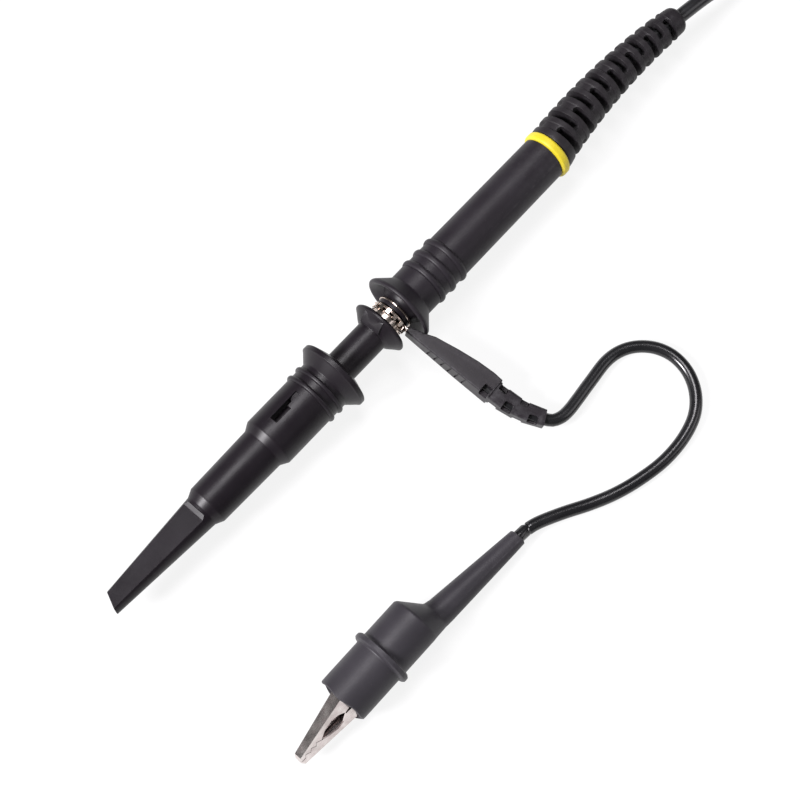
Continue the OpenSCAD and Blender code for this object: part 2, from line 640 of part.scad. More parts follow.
// ================= compensation box =================
// x runs from the cable's entry to the plug
module at_box(x = 0) {
    on_bench() translate(box_start) rotate([0, 0, atan2(tail_dir[1], tail_dir[0])])
        translate([x, 0, 0]) children();
}
box_x = box_boot_len;
bnc_x = box_x + box_len;
module box_boot() {
    color([0.12, 0.12, 0.13]) at_box() rotate([0, 90, 0]) difference() {
        union() {
            cylinder(d1 = 6, d2 = 8.6, h = box_boot_len - 0.6);
            translate([0, 0, box_boot_len - 0.6]) cylinder(d = 7, h = box_wall + 1.2);
            translate([0, 0, box_boot_len + box_wall + 0.1]) cylinder(d = 9, h = 1.2);
        }
        translate([0, 0, -1]) cylinder(d = cable_d + 0.1, h = box_boot_len + 8);
        for (k = [0:2]) translate([0, 0, 2.4 + 3 * k]) difference() {
            cylinder(d = 12, h = 1.2);
            rotate([0, 0, 90 * (k % 2)]) translate([-6, -1.4, -1]) cube([12, 2.8, 4]);
            cylinder(d = cable_d + 1.2, h = 1.2);
        }
    }
}
// an upright block with round corners
module round_block(x, y, z, r) {
    linear_extrude(z) {
        square([x - 2 * r, y], center = true);
        square([x, y - 2 * r], center = true);
        for (sx = [-1, 1]) for (sy = [-1, 1]) translate([sx * (x / 2 - r), sy * (y / 2 - r)])
            circle(r = r, $fn = 32);
    }
}
corner_r = 2.4;
box_mid_x = box_x + box_len / 2;
neck_in = 4;
screw_x = box_len / 2 - neck_in - 2.4;
screw_y = box_w / 2 - 3.2;
boss_d = 3.6;
module box_shell_half() {
    difference() {
        round_block(box_len, box_w, box_h / 2, corner_r);
        translate([0, 0, box_wall])
            round_block(box_len - 2 * box_wall, box_w - 2 * box_wall, box_h, corner_r - box_wall + 0.4);
    }
}
module box_openings() {
    translate([-box_len / 2 - 1, 0, box_h / 2]) rotate([0, 90, 0]) cylinder(d = 7.1, h = box_wall + 2);
    translate([box_len / 2 - box_wall - 1, 0, box_h / 2]) rotate([0, 90, 0])
        cylinder(d = bnc_neck_d + 0.06, h = box_wall + 2);
}
module box_base() {
    color([0.13, 0.13, 0.14]) at_box(box_mid_x) translate([0, 0, -box_h / 2]) difference() {
        union() {
            box_shell_half();
            for (s = [-1, 1]) translate([s * screw_x, s * screw_y, 0])
                cylinder(d = boss_d, h = box_h / 2 - 0.05, $fn = 32);
        }
        box_openings();
        for (s = [-1, 1]) translate([s * screw_x, s * screw_y, -1]) {
            cylinder(d = screw_d + 0.2, h = box_h, $fn = 24);
            cylinder(d = screw_head_d + 0.2, h = 2.4, $fn = 32);
        }
    }
}
screw_d = 1.6;
screw_head_d = 2.8;
module box_cover() {
    color([0.13, 0.13, 0.14]) at_box(box_mid_x) translate([0, 0, box_h / 2 + 0.05])
        mirror([0, 0, 1]) difference() {
        union() {
            box_shell_half();
            for (s = [-1, 1]) translate([s * screw_x, s * screw_y, 0])
                cylinder(d = boss_d, h = box_h / 2 - 0.05, $fn = 32);
        }
        box_openings();
        for (s = [-1, 1]) translate([s * screw_x, s * screw_y, box_h / 2 - 4])
            cylinder(d = screw_d + 0.04, h = 6, $fn = 24);
        translate([trimmer_off, 0, -1]) cylinder(d = trimmer_d + 0.8, h = box_wall + 2, $fn = 32);
    }
}
module box_screws() {
    color([0.6, 0.6, 0.62]) at_box(box_mid_x) translate([0, 0, -box_h / 2])
        for (s = [-1, 1]) translate([s * screw_x, s * screw_y, 0]) {
            difference() {
                translate([0, 0, 0.3]) cylinder(d = screw_head_d, h = 1.05, $fn = 32);
                translate([-0.25, -2, 0]) cube([0.5, 4, 0.7]);
            }
            translate([0, 0, 1.3]) cylinder(d = screw_d, h = box_h / 2 + 1.5, $fn = 24);
        }
}
trimmer_off = -4;
board_top = -1.2;
module box_board() {
    color([0.12, 0.36, 0.22]) at_box(box_mid_x) difference() {
        translate([-box_len / 2 + 4, -box_w / 2 + box_wall + 0.3, board_top - 1])
            cube([box_len - 8, box_w - 2 * box_wall - 0.6, 1]);
        for (s = [-1, 1]) translate([s * screw_x, s * screw_y, board_top - 2])
            cylinder(d = boss_d + 0.3, h = 4, $fn = 32);
    }
}
module trimmer_body() {
    color([0.85, 0.82, 0.75]) at_box(box_mid_x + trimmer_off) translate([0, 0, board_top]) difference() {
        cylinder(d = trimmer_d + 2.4, h = 3.4);
        translate([0, 0, 1]) cylinder(d = trimmer_d + 0.08, h = 4, $fn = 32);
    }
}
module trimmer_screw() {
    top = box_h / 2 - 0.4;
    color([0.75, 0.62, 0.3]) at_box(box_mid_x + trimmer_off) difference() {
        translate([0, 0, board_top + 1.02]) cylinder(d = trimmer_d, h = top - board_top - 1.02, $fn = 32);
        translate([-0.3, -trimmer_d, top - 0.9]) cube([0.6, 2 * trimmer_d, 2]);
    }
}

// ================= BNC plug =================
bnc_neck_d = 9.6;
bnc_stem_d = 9.3;
bnc_flange_len = 1.4;
bnc_shank_d = 1.7;
stem_x = 2.4;
collar_start = stem_x + bnc_flange_len + 0.7;
contact_x = collar_start + 7;
contact_end = collar_start + bnc_collar_len - 1.6;
module bnc_body() {
    r = bnc_contact_d / 2;
    color([0.78, 0.77, 0.74]) at_box(bnc_x) rotate([0, 90, 0]) difference() {
        turned([[2.4, -neck_in], [bnc_neck_d / 2, -neck_in], [bnc_neck_d / 2, stem_x],
            [bnc_collar_d / 2 - 0.7, stem_x],
            [bnc_collar_d / 2 - 0.7, stem_x + bnc_flange_len], [bnc_stem_d / 2, stem_x + bnc_flange_len],
            [bnc_stem_d / 2, contact_x], [r, contact_x + 0.4], [r, contact_end - 0.3],
            [r - 0.3, contact_end],
            [r - 0.6, contact_end], [r - 0.6, contact_x], [2.4, contact_x]]);
        // the contact is split into four fingers
        for (a = [45, 135]) rotate([0, 0, a]) translate([-bnc_collar_d, -0.25, contact_x + 1.2])
            cube([2 * bnc_collar_d, 0.5, bnc_collar_len]);
    }
}
slot_w = 2.2;
module bnc_collar() {
    r = bnc_collar_d / 2;
    end = collar_start + bnc_collar_len;
    color([0.8, 0.79, 0.76]) at_box(bnc_x) rotate([0, 90, 0]) difference() {
        turned([[bnc_stem_d / 2 + slide_clear, collar_start], [r - 0.5, collar_start],
            [r, collar_start + 0.5],
            [r, collar_start + 7], [r - 0.9, collar_start + 7.6], [r - 0.9, end - 0.4], [r - 1.3, end],
            [bnc_mouth_d / 2, end], [bnc_mouth_d / 2, contact_x - 0.6],
            [bnc_stem_d / 2 + slide_clear, contact_x - 0.6]]);
        // two bayonet slots: straight in, then round to a seat
        for (a = [0, 180]) rotate([0, 0, a + 90]) {
            translate([0, -slot_w / 2, end - 4]) cube([10, slot_w, 6]);
            for (b = [12, 24, 36]) rotate([0, 0, b]) translate([0, -slot_w / 2, end - 4 - b / 36])
                cube([10, slot_w, slot_w]);
        }
        // grip flutes
        for (a = [0:20:340]) rotate([0, 0, a]) translate([r + 0.35, 0, collar_start + 1.2])
            cylinder(r = 0.7, h = 5, $fn = 16);
    }
}
module bnc_washer() {
    color([0.6, 0.6, 0.62]) at_box(bnc_x + stem_x + bnc_flange_len + 0.1) rotate([0, 90, 0])
        tube(bnc_collar_d - 2.4, bnc_stem_d + 0.1, 0.5);
}
bnc_insulator_d = 4.74;
insulator_back = 3.8;
module bnc_insulator() {
    color([0.92, 0.92, 0.9]) at_box(bnc_x) rotate([0, 90, 0])
        translate([0, 0, -insulator_back]) tube(bnc_insulator_d, bnc_shank_d + 0.04,
            contact_x + insulator_back + 0.3);
}
module bnc_pin() {
    tip = 1;
    pin_end = contact_end - 0.5;
    color([0.85, 0.72, 0.42]) at_box(bnc_x) rotate([0, 90, 0]) {
        translate([0, 0, -6]) cylinder(d = bnc_shank_d, h = contact_x + 6.3, $fn = 32);
        translate([0, 0, contact_x]) cylinder(d = bnc_pin_d, h = pin_end - tip - contact_x, $fn = 32);
        translate([0, 0, pin_end - tip]) cylinder(d1 = bnc_pin_d, d2 = 0.5, h = tip, $fn = 32);
    }
}

// ================= ground clip =================
// x runs from the ring to the lead, y towards the handle, z up
module at_clip() {
    on_bench() translate([ring_x, 0, axis_h]) rotate([0, 0, clip_yaw - 90]) rotate([0, clip_droop, 0])
        rotate([clip_roll, 0, 0]) children();
}
clip_mouth = 5.9;
ring_in_r = collar_d / 2 - 0.35 + 0.06;
arm_gap = 1.5;
arm_w = 0.9;
arm_t = 0.5;
arm_x = collar_d / 2 + 0.1;
arm_y = -0.1;
lead_in = 8;
spade_len = clip_len - lead_in;
module clip_contact() {
    spade_h = arm_gap + 2 * arm_w;
    color([0.82, 0.8, 0.77]) {
        along_probe(ring_x) difference() {
            translate([0, 0, -ring_thick / 2]) tube(ring_d, 2 * ring_in_r, ring_thick);
            translate([-arm_gap / 2, -20, -5]) cube([arm_gap, 20, 10]);
            // notches round the rim
            for (a = [20:32:330]) rotate([0, 0, a - 90]) translate([ring_d / 2 - 0.6, -0.6, -5])
                cube([2, 1.2, 10]);
        }
        // two arms that end in a spade inside the housing
        at_clip() {
            for (s = [-1, 1]) translate([arm_x, arm_y, s * (arm_gap + arm_w) / 2 - arm_w / 2])
                cube([clip_mouth + 2 - arm_x, arm_t, arm_w]);
            translate([clip_mouth + 1, arm_y, -spade_h / 2]) cube([spade_len, arm_t, spade_h]);
        }
    }
}
// plan of the housing: straight on the grooved side, bowed on the other
clip_plan = [
    [0, -0.8], [clip_len, -0.8], [clip_len, clip_w - 1], [clip_len - 3, clip_w - 0.8],
    [clip_len - 8, clip_w - 1.1],
    [clip_len / 2, clip_w - 1.9], [clip_len / 4, clip_w - 3.2], [4, clip_w - 4.4], [0, 0.9]];
module clip_housing() {
    pocket_h = arm_gap + 2 * arm_w + 0.06;
    color([0.17, 0.17, 0.18]) at_clip() translate([clip_mouth, 0, 0]) difference() {
        intersection() {
            translate([0, 0, -10]) linear_extrude(20) polygon(clip_plan);
            rotate([90, 0, 0]) translate([0, 0, -20]) linear_extrude(40) polygon([
                [0, clip_tip_h / 2], [clip_len, clip_h / 2], [clip_len, -clip_h / 2],
                [clip_len * 0.6, -clip_h / 2],
                [0, -clip_tip_h / 2]]);
        }
        // pocket for the contact, and the lead's way in
        translate([-1, arm_y - 0.03, -pocket_h / 2]) cube([spade_len + 2.1, arm_t + 0.06, pocket_h]);
        translate([clip_len - lead_in - 1, clip_axis_y, 0]) rotate([0, 90, 0])
            cylinder(d = lead_d + 0.1, h = lead_in + 2, $fn = 32);
        // the first of the relief's slots opens the housing's top near corner
        translate([clip_len - rear_slot - 0.4, clip_axis_y, 0]) translate([0, -slot_off - reach, slot_off])
            cube([rear_slot, reach, reach]);
        // grip grooves on the straight side
        for (k = [0:groove_count - 1]) translate([clip_len * 0.28 + 2.35 * k, -1, -clip_h * 0.28])
            cube([0.7, 0.5, clip_h * 0.56]);
    }
}
clip_axis_y = clip_w / 2 - 0.9;
rear_slot = 2.8;
// the relief is a row of blocks, each turned a little further than the one before, and an end ring
relief_blocks = 4;
relief_step = 7;
relief_end_len = 1.3;
relief_taper = 0.35;
function relief_len(k) = k < relief_blocks ? relief_block : relief_end_len;
function relief_point(k) = k == 0
    ? [clip_mouth + clip_len, clip_axis_y, 0]
    : relief_point(k - 1) + relief_len(k - 1) * [cos(relief_step * (k - 1)), sin(relief_step * (k - 1)), 0];
function relief_width(k) = relief_w - relief_taper * k;
module clip_relief() {
    color([0.14, 0.14, 0.15]) at_clip() difference() {
        union() {
            for (k = [0:relief_blocks - 1]) at_relief(k) relief_bar(relief_width(k), k % 2 == 1);
            at_relief(relief_blocks) bar(relief_width(relief_blocks), relief_end_len);
        }
        for (k = [0:relief_blocks]) at_relief(k) translate([-0.2, 0, 0]) rotate([0, 90, 0])
            cylinder(d = lead_d + 0.2 + bore_step * (k % 2), h = relief_len(k) + 0.4, $fn = 32);
    }
}
module at_relief(k) { translate(relief_point(k)) rotate([0, 0, relief_step * k]) children(); }
module bar(w, len) { translate([0, -w / 2, -w / 2]) cube([len, w, w]); }
// a square bar whose slot opens two opposite corners: top near and bottom far, or the other two
relief_slot = 2.7;
module relief_bar(w, top_near) {
    side = top_near ? -1 : 1;
    difference() {
        bar(w, relief_block + 0.15);
        for (s = [-1, 1])
            translate([(relief_block - relief_slot) / 2, side * s > 0 ? slot_off : -slot_off - w,
                s > 0 ? slot_off : -slot_off - w]) cube([relief_slot, w, w]);
    }
}
slot_off = 0.25;

// ================= ground lead =================
function about_x(v, a) = [v[0], v[1] * cos(a) - v[2] * sin(a), v[1] * sin(a) + v[2] * cos(a)];
function about_y(v, a) = [v[0] * cos(a) + v[2] * sin(a), v[1], v[2] * cos(a) - v[0] * sin(a)];
function about_z(v, a) = [v[0] * cos(a) - v[1] * sin(a), v[0] * sin(a) + v[1] * cos(a), v[2]];
function clip_to_bench(p) =
    about_z(about_y(about_x(p, clip_roll), clip_droop), clip_yaw - 90) + [ring_x, 0, axis_h];
function croc_to_bench(p) = about_x(p, croc_roll) + [croc_at[0], croc_at[1], croc_h];
lead_in_clip = [
    clip_to_bench(relief_point(0) - [lead_in, 0, 0]),
    for (k = [0:relief_blocks + 1]) clip_to_bench(relief_point(k))];
// from the relief's end, [x, y] counted from it, in one bend over the bench and back to the clip
lead_from = clip_to_bench(relief_point(relief_blocks + 1));
lead_route = [for (p = [
        [1.3, -1.8, 4.1], [3.7, -2.9, 3.85], [6.5, -3.1, 3.55], [9.9, -2.8, 3.15],
        [16.9, -2, 2.4], [23.9, -1.4, 1.95], [28.9, -2.4, 1.75], [32.9, -5, 1.75], [35.9, -9.1, 1.75],
        [37.1, -14.1, 1.75], [36.1, -19.6, 1.75], [32.9, -24.6, 1.75], [27.9, -28.2, 1.75], [20.9, -30, 1.75],
        [12.9, -30.1, 1.75], [4.9, -28.6, 1.75], [-2.1, -26.4, 1.75], [-8.6, -23.4, 1.8], [-15.1, -19.8, 2.1],
        [-21.1, -16.9, 2.6], [-24.6, -15.8, 2.9]]) p + [lead_from[0], lead_from[1], 0]];
module ground_lead() {
    color([0.05, 0.05, 0.06]) on_bench()
        swept(concat(lead_in_clip, lead_route,
            [croc_to_bench(tail_end), croc_to_bench(lead_tip)]), lead_d / 2, 8);
}

// ================= crocodile clip =================
// x runs from the tips to the lead, z to the back of the moving jaw, y along the pin
croc_roll = -37.5;
croc_h = cover_rib_d / 2;
module at_croc() {
    on_bench() translate([croc_at[0], croc_at[1], croc_h]) rotate([croc_roll, 0, 0]) children();
}
mouth_x = 17.8;
cover_rib_x = mouth_x + 14.6;
cover_end_x = mouth_x + cover_len;
pivot = [27, -0.4];
tip_z = -2.8;
tail_start = [cover_end_x + 5, -0.4, -3.9];
tail_end = [cover_end_x + tail_len + 0.2, -0.6, -6.9];
croc_at = [lead_from[0] - 28.1 - tail_end[0], lead_from[1] - 10.69];
crimp_x = 44.6;
crimp_len = 5;
crimp_z = -3.3;
lead_tip = [crimp_x + crimp_len + 0.3, -0.4, tail_start[2]];
module croc_cover() {
    color([0.27, 0.27, 0.29]) at_croc() difference() {
        union() {
            translate([mouth_x, 0, 0]) rotate([0, 90, 0])
                cylinder(d = cover_d, h = cover_len + 0.1, $fn = 48);
            translate([cover_rib_x, 0, 0]) rotate([0, 90, 0]) translate([0, 0, -1])
                turned([[5, 0], [cover_rib_d / 2 - 0.5, 0], [cover_rib_d / 2, 0.5], [cover_rib_d / 2, 1.5],
                    [cover_rib_d / 2 - 0.5, 2], [5, 2]]);
            hull() {
                translate([cover_end_x, 0, 0]) rotate([0, 90, 0]) cylinder(d = cover_d, h = 0.5, $fn = 32);
                translate(tail_start) rotate([0, 90, 0]) cylinder(d = 7.6, h = 0.5, $fn = 32);
            }
            hull() {
                translate(tail_start) rotate([0, 90, 0]) cylinder(d = 7.6, h = 0.5, $fn = 32);
                translate(tail_end) rotate([0, -90, 0]) cylinder(d = 4.8, h = 0.5, $fn = 32);
            }
        }
        translate([mouth_x - 1, 0, 0]) rotate([0, 90, 0])
            cylinder(d = cover_d - 2 * cover_wall, h = cover_len + 1, $fn = 48);
        hull() {
            translate([cover_end_x - 1, 0, -1.6]) sphere(d = 8, $fn = 24);
            translate([lead_tip[0], 0, crimp_z]) sphere(d = lead_d + 1.5, $fn = 24);
        }
        hull() {
            translate([lead_tip[0], lead_tip[1], tail_start[2]]) sphere(d = lead_d + 0.3, $fn = 24);
            translate(tail_end + [1, 0, 0]) sphere(d = lead_d + 0.3, $fn = 24);
        }
    }
}
jaw_pitch = 1.9;
tooth_x = 2.8;
// the line on which the jaws meet: three teeth, then a round opening for thick wires
function bite(gap) = [
    [0.9, tip_z + gap], [2.2, tip_z + 0.1 + gap], 
    for (k = [0:2]) each [
        [tooth_x + k * jaw_pitch, tip_z + 0.9 + 0.1 * k + gap],
        [tooth_x + (k + 1) * jaw_pitch - 0.6, tip_z + 0.2 + 0.1 * k + gap]]];
bite_end = 9;
hole_end = 16.4;
// plan of a jaw: half width at each place, from the tip
module jaw_plan(rear_w, inset = 0) {
    polygon([
        [0.6 + inset, -jaw_tip_w / 2 + 0.5 + inset], [0.6 + inset, jaw_tip_w / 2 - 0.5 - inset],
        [1.2 + inset, jaw_tip_w / 2 - inset], [mouth_x, jaw_w / 2 - inset],
        [mouth_x + 4, rear_w / 2 - inset], [jaw_end + reach, rear_w / 2 - inset],
        [jaw_end + reach, -rear_w / 2 + inset], [mouth_x + 4, -rear_w / 2 + inset],
        [mouth_x, -jaw_w / 2 + inset], [1.2 + inset, -jaw_tip_w / 2 + inset]]);
}
module jaw_body(side, rear_w) {
    intersection() {
        rotate([90, 0, 0]) translate([0, 0, -10]) linear_extrude(20) polygon(side);
        translate([0, 0, -20]) linear_extrude(40) jaw_plan(rear_w);
    }
}
fixed_rear_w = 5.3;
moving_rear_w = fixed_rear_w - 2 * jaw_sheet - 0.16;
ear_r = 2.3;
jaw_end = 42;
floor_z = -5.4;
module fixed_jaw() {
    back = [[0.6, tip_z - 0.5], [1.2, tip_z - 1.2], [mouth_x, floor_z], [jaw_end, floor_z]];
    inner = [for (p = back) p + [0.3, jaw_sheet]];
    color([0.8, 0.79, 0.77]) at_croc() difference() {
        union() {
            difference() {
                jaw_body(concat(back, [[jaw_end, floor_z + 1.4], [pivot[0] + 5, floor_z + 2],
                    [pivot[0] + ear_r, pivot[1] - 1], [pivot[0] + 1.6, pivot[1] + 1.6],
                    [pivot[0], pivot[1] + ear_r],
                    [pivot[0] - 1.6, pivot[1] + 1.6], [pivot[0] - ear_r, pivot[1] - 0.6],
                    [hole_end + 2.6, tip_z + 0.7], [hole_end + 0.2, tip_z + 0.8],
                    [hole_end - 1.6, tip_z - 0.6],
                    [(bite_end + hole_end) / 2, tip_z - 1], [bite_end + 1, tip_z - 0.4]],
                    [for (k = [7:-1:0]) bite(0)[k]]), fixed_rear_w);
                intersection() {
                    rotate([90, 0, 0]) translate([0, 0, -10]) linear_extrude(20)
                        polygon(concat(inner, [[jaw_end + 1, floor_z + jaw_sheet], [jaw_end + 1, 10],
                            [1, 10]]));
                    translate([0, 0, -20]) linear_extrude(40) jaw_plan(fixed_rear_w, jaw_sheet);
                }
            }
            // strap to the crimp
            translate([jaw_end - 2, -1, floor_z])
                cube([crimp_x + crimp_len - jaw_end + 2, 2, crimp_z - crimp_d / 2 - floor_z]);
        }
        translate([pivot[0], 0, pivot[1]]) rotate([90, 0, 0])
            cylinder(d = jaw_pin_d + 0.04, h = 20, center = true, $fn = 32);
    }
}
module moving_jaw() {
    roof = [[0.6, tip_z + 0.6], [1.2, tip_z + 1.3], [mouth_x, 2.7], [pivot[0] - 1, 3.4], [pivot[0] + 3, 3],
        [43, 4.8]];
    inner = [for (p = roof) p + [0.3, -jaw_sheet]];
    color([0.8, 0.79, 0.77]) at_croc() difference() {
        jaw_body(concat(roof, [[43, 3.6], [pivot[0] + 5, 1], [pivot[0] + 1.9, pivot[1] - 1.2],
            [pivot[0], pivot[1] - 1.9], [pivot[0] - 2, pivot[1] - 1.2], [hole_end + 2.6, tip_z + 1.6],
            [hole_end + 0.2, tip_z + 1.2], [hole_end - 1.4, tip_z + 2.3],
            [(bite_end + hole_end) / 2, tip_z + 2.7], [bite_end + 1, tip_z + 2]],
            [for (k = [7:-1:0]) bite(0.15)[k]]), moving_rear_w);
        intersection() {
            rotate([90, 0, 0]) translate([0, 0, -10]) linear_extrude(20)
                polygon(concat(inner, [[50, 4.8 - jaw_sheet], [50, -20], [1, -20]]));
            translate([0, 0, -20]) linear_extrude(40) jaw_plan(moving_rear_w, jaw_sheet);
        }
        translate([pivot[0], 0, pivot[1]]) rotate([90, 0, 0])
            cylinder(d = jaw_pin_d + 0.1, h = 20, center = true, $fn = 32);
    }
}
module jaw_pin() {
    color([0.7, 0.69, 0.66]) at_croc() translate([pivot[0], 0, pivot[1]]) rotate([90, 0, 0]) {
        cylinder(d = jaw_pin_d, h = fixed_rear_w + 0.5, center = true, $fn = 32);
        for (s = [-1, 1]) translate([0, 0, s * (fixed_rear_w / 2 + 0.3)])
            cylinder(d = jaw_pin_d + 0.9, h = 0.5, center = true, $fn = 32);
    }
}
jaw_spring_r = 1.35;
jaw_spring_wire = 0.5;
module jaw_spring() {
    turns = 3;
    w = 2.2;
    r = jaw_spring_r;
    helix = [for (k = [0:turns * 8]) let (a = 90 + 45 * k)
        [r * cos(a), lerp(-w / 2, w / 2, k / (turns * 8)), r * sin(a)]];
    color([0.6, 0.6, 0.6]) at_croc() translate([pivot[0], 0, pivot[1]])
        swept_helix(helix, [0, 1, 0], jaw_spring_wire / 2, 6);
}
crimp_d = 2.8;
module lead_crimp() {
    color([0.75, 0.73, 0.7]) at_croc() translate([crimp_x, 0, crimp_z]) rotate([0, 90, 0])
        tube(crimp_d, 1.5, crimp_len, $fn = 32);
}

// ---- origin: middle of the probe and its ground clip, on the bench ----
nose_front_x = nose_cut_x - (nose_tip_d / 2 - nose_bevel * nose_taper) * tan(nose_cut_angle);
boot_rear_x = boot_point(boot_len)[0] + cap_end_r * sin(boot_turn / 2);
relief_end_angle = relief_step * relief_blocks;
relief_corner = relief_point(relief_blocks + 1)
    + relief_width(relief_blocks) / 2 * [sin(relief_end_angle), -cos(relief_end_angle), 1];
origin_x = (nose_front_x + boot_rear_x) / 2;
origin_y = (axis_h + clip_to_bench(relief_corner)[1]) / 2;

hook_sleeve();
hook_barrel();
hook_wire();
hook_spring();
contact_socket();
ground_collar();
insulator();
contact_needle();
shield_tube();
circuit_board();
divider_resistor();
tip_capacitor();
handle_shell();
color_ring();
cable_boot();
boot_cable();
crimp_ferrule();
cable_run();
cable_coil();
coil_tie();
cable_tail();
box_boot();
box_base();
box_cover();
box_board();
trimmer_body();
trimmer_screw();
box_screws();
bnc_body();
bnc_collar();
bnc_washer();
bnc_insulator();
bnc_pin();
clip_contact();
clip_housing();
clip_relief();
ground_lead();
croc_cover();
fixed_jaw();
moving_jaw();
jaw_pin();
jaw_spring();
lead_crimp();
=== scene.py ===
import math

import bpy
from mathutils import Matrix, Vector


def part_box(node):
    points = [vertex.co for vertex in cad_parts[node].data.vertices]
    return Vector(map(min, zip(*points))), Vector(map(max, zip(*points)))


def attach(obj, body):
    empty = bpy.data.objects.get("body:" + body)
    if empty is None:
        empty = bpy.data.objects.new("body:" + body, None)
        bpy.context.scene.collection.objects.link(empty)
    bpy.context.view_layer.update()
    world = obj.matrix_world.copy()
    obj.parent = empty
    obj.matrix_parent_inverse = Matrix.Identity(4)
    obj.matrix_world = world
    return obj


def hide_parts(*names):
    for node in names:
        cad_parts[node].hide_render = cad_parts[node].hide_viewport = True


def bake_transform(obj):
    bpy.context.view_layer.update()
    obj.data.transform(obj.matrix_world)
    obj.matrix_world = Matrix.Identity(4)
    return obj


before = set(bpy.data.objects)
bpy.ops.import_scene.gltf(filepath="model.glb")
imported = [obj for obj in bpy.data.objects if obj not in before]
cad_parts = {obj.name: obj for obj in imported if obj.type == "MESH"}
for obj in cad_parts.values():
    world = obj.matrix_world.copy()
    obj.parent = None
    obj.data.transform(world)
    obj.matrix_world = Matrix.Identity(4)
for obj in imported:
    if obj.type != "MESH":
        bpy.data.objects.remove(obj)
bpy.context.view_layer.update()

MM_PER_M = 1000

# ---------------------------------------------------------------- measures, in millimetres
AXIS_H = 10.4
COLLAR_R = 4.43
HOOK_TURNED = 9
NOSE_LEN = 31
FRONT_X = 33.2
MID_X = 53.2
REAR_X = 70.4
RIB_PITCH = 3.1
SLEEVE_END_X = 82.04
BARREL_FLANGE_X = 95.04
BARREL_END_X = 98.24
RING_X = 101.54
HANDLE_X = 104.64
COLOR_RING_X = 163.64
BOOT_X = 166.34
CAVITY_X = 36
BARREL_FRONT_X = 58
WINDOW_X = 59.2
WINDOW_LEN = 9.6
BOOT_LEN = 55.5
BOOT_TURN = 15.4
BOOT_LIFT = 0.25
BOOT_BASE = 2.6
BOOT_CAP = 4.6
SLOTS = 13
SLOT_OPEN = 0.57
SLOT_PITCH = (BOOT_LEN - BOOT_BASE - BOOT_CAP) / (SLOTS - 1 + SLOT_OPEN)
SLOT_LEN = SLOT_PITCH * SLOT_OPEN
FIRST_SLOT_TURN = 64
NEXT_SLOT_TURN = 82
BOOT_D = 13.8
BOOT_END_D = 8.4
CABLE_D = 4.15
COIL_PITCH = 4.75
COIL_TURNS = 6.4167
COIL_MID_D = 49.6
COIL_Z = 2.725
LEAD_D = 3.45
CLIP_MOUTH = 5.9
CLIP_LEN = 27.6
CLIP_W = 6.4
CLIP_AXIS_Y = CLIP_W / 2 - 0.9
RELIEF_BLOCK = 3.45
RELIEF_END = 1.3
RELIEF_STEP = 7
RELIEF_LEN = 4 * RELIEF_BLOCK + RELIEF_END
MOUTH_X = 17.8
COVER_R = 6.95
COVER_END_X = MOUTH_X + 27
WELD_GAP = 0.002
SOFTENING_GAP = 0.004
# how far the painted crevice shade of the metals looks for nearby surfaces, in mm
SHADE_REACH = 0.8

# ---------------------------------------------------------------- other settings
POINTS_PER_TURN = 28
RIB_STEPS = 8
FLOOR_LIFT = 0.87
WORLD_LIGHT = 0.09
LAMP_TINT = (1, 0.975, 1.01)

# the frame's origin, read back from the colour ring, which stands round the probe's axis
ring_low, ring_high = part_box("color_ring")
ORIGIN = Vector((
    COLOR_RING_X - ring_low.x * MM_PER_M, -(ring_low.y + ring_high.y) * MM_PER_M / 2, 0,
))


def bench(x, y, z):
    """A point on the bench, x along the probe from its tip, as a point of the frame in metres."""
    return (Vector((x, y, z)) - ORIGIN) / MM_PER_M


def unit(v):
    return v / v.length


def turned_about(axis, degrees):
    return Matrix.Rotation(math.radians(degrees), 4, axis)


def placed(x, y, z):
    """A frame of the bench at this point, in metres."""
    return Matrix.Translation(bench(x, y, z))


# ---------------------------------------------------------------- paths of the cords
def boot_heading(u):
    """The boot bends evenly along a flat arc; its heading at u mm from its base, in radians."""
    return math.radians(BOOT_TURN / 2 - BOOT_TURN * u / BOOT_LEN)


def boot_point(u):
    arc = BOOT_LEN * 180 / math.pi / BOOT_TURN
    first, here = boot_heading(0), boot_heading(u)
    return Vector((
        BOOT_X + arc * (math.sin(first) - math.sin(here)),
        BOOT_LIFT + arc * (math.cos(here) - math.cos(first)),
        AXIS_H,
    ))


def coil_radius(t):
    """The coil winds inwards for half its turns, and outwards again on top for the rest."""
    return COIL_MID_D / 2 + COIL_PITCH * COIL_TURNS / 4 - COIL_PITCH * min(t, COIL_TURNS - t)


def coil_point(t):
    a = math.pi / 2 - 2 * math.pi * t
    rise = COIL_PITCH * min(1, max(0, (t - COIL_TURNS / 2 + 0.25) / 0.5))
    r = coil_radius(t)
    return Vector((
        COIL_CENTRE[0] + r * math.cos(a), COIL_CENTRE[1] + r * math.sin(a), COIL_Z + rise,
    ))


def smooth_path(points, step):
    """Points about one step apart on a smooth line through the given points."""
    ends = [2 * points[0] - points[1]] + points + [2 * points[-1] - points[-2]]
    line = []
    for a, b, c, d in zip(ends, ends[1:], ends[2:], ends[3:]):
        n = max(1, round((c - b).length / step))
        for k in range(n):
            t = k / n
            line.append(0.5 * (
                2 * b + (c - a) * t + (2 * a - 5 * b + 4 * c - d) * t * t
                + (3 * b - a - 3 * c + d) * t ** 3
            ))
    return line + [points[-1]]


BOOT_END = boot_point(BOOT_LEN)
COIL_CENTRE = (BOOT_END.x + 68.33, -37)
TAIL_ANGLE = math.pi / 2 - 2 * math.pi * COIL_TURNS
TAIL_DIR = Vector((math.sin(TAIL_ANGLE), -math.cos(TAIL_ANGLE), 0))
COIL_LAST = coil_point(COIL_TURNS) + CABLE_D * TAIL_DIR
BOX_START = Vector((COIL_LAST.x + 12 * TAIL_DIR.x, COIL_LAST.y + 12 * TAIL_DIR.y, 7.3))

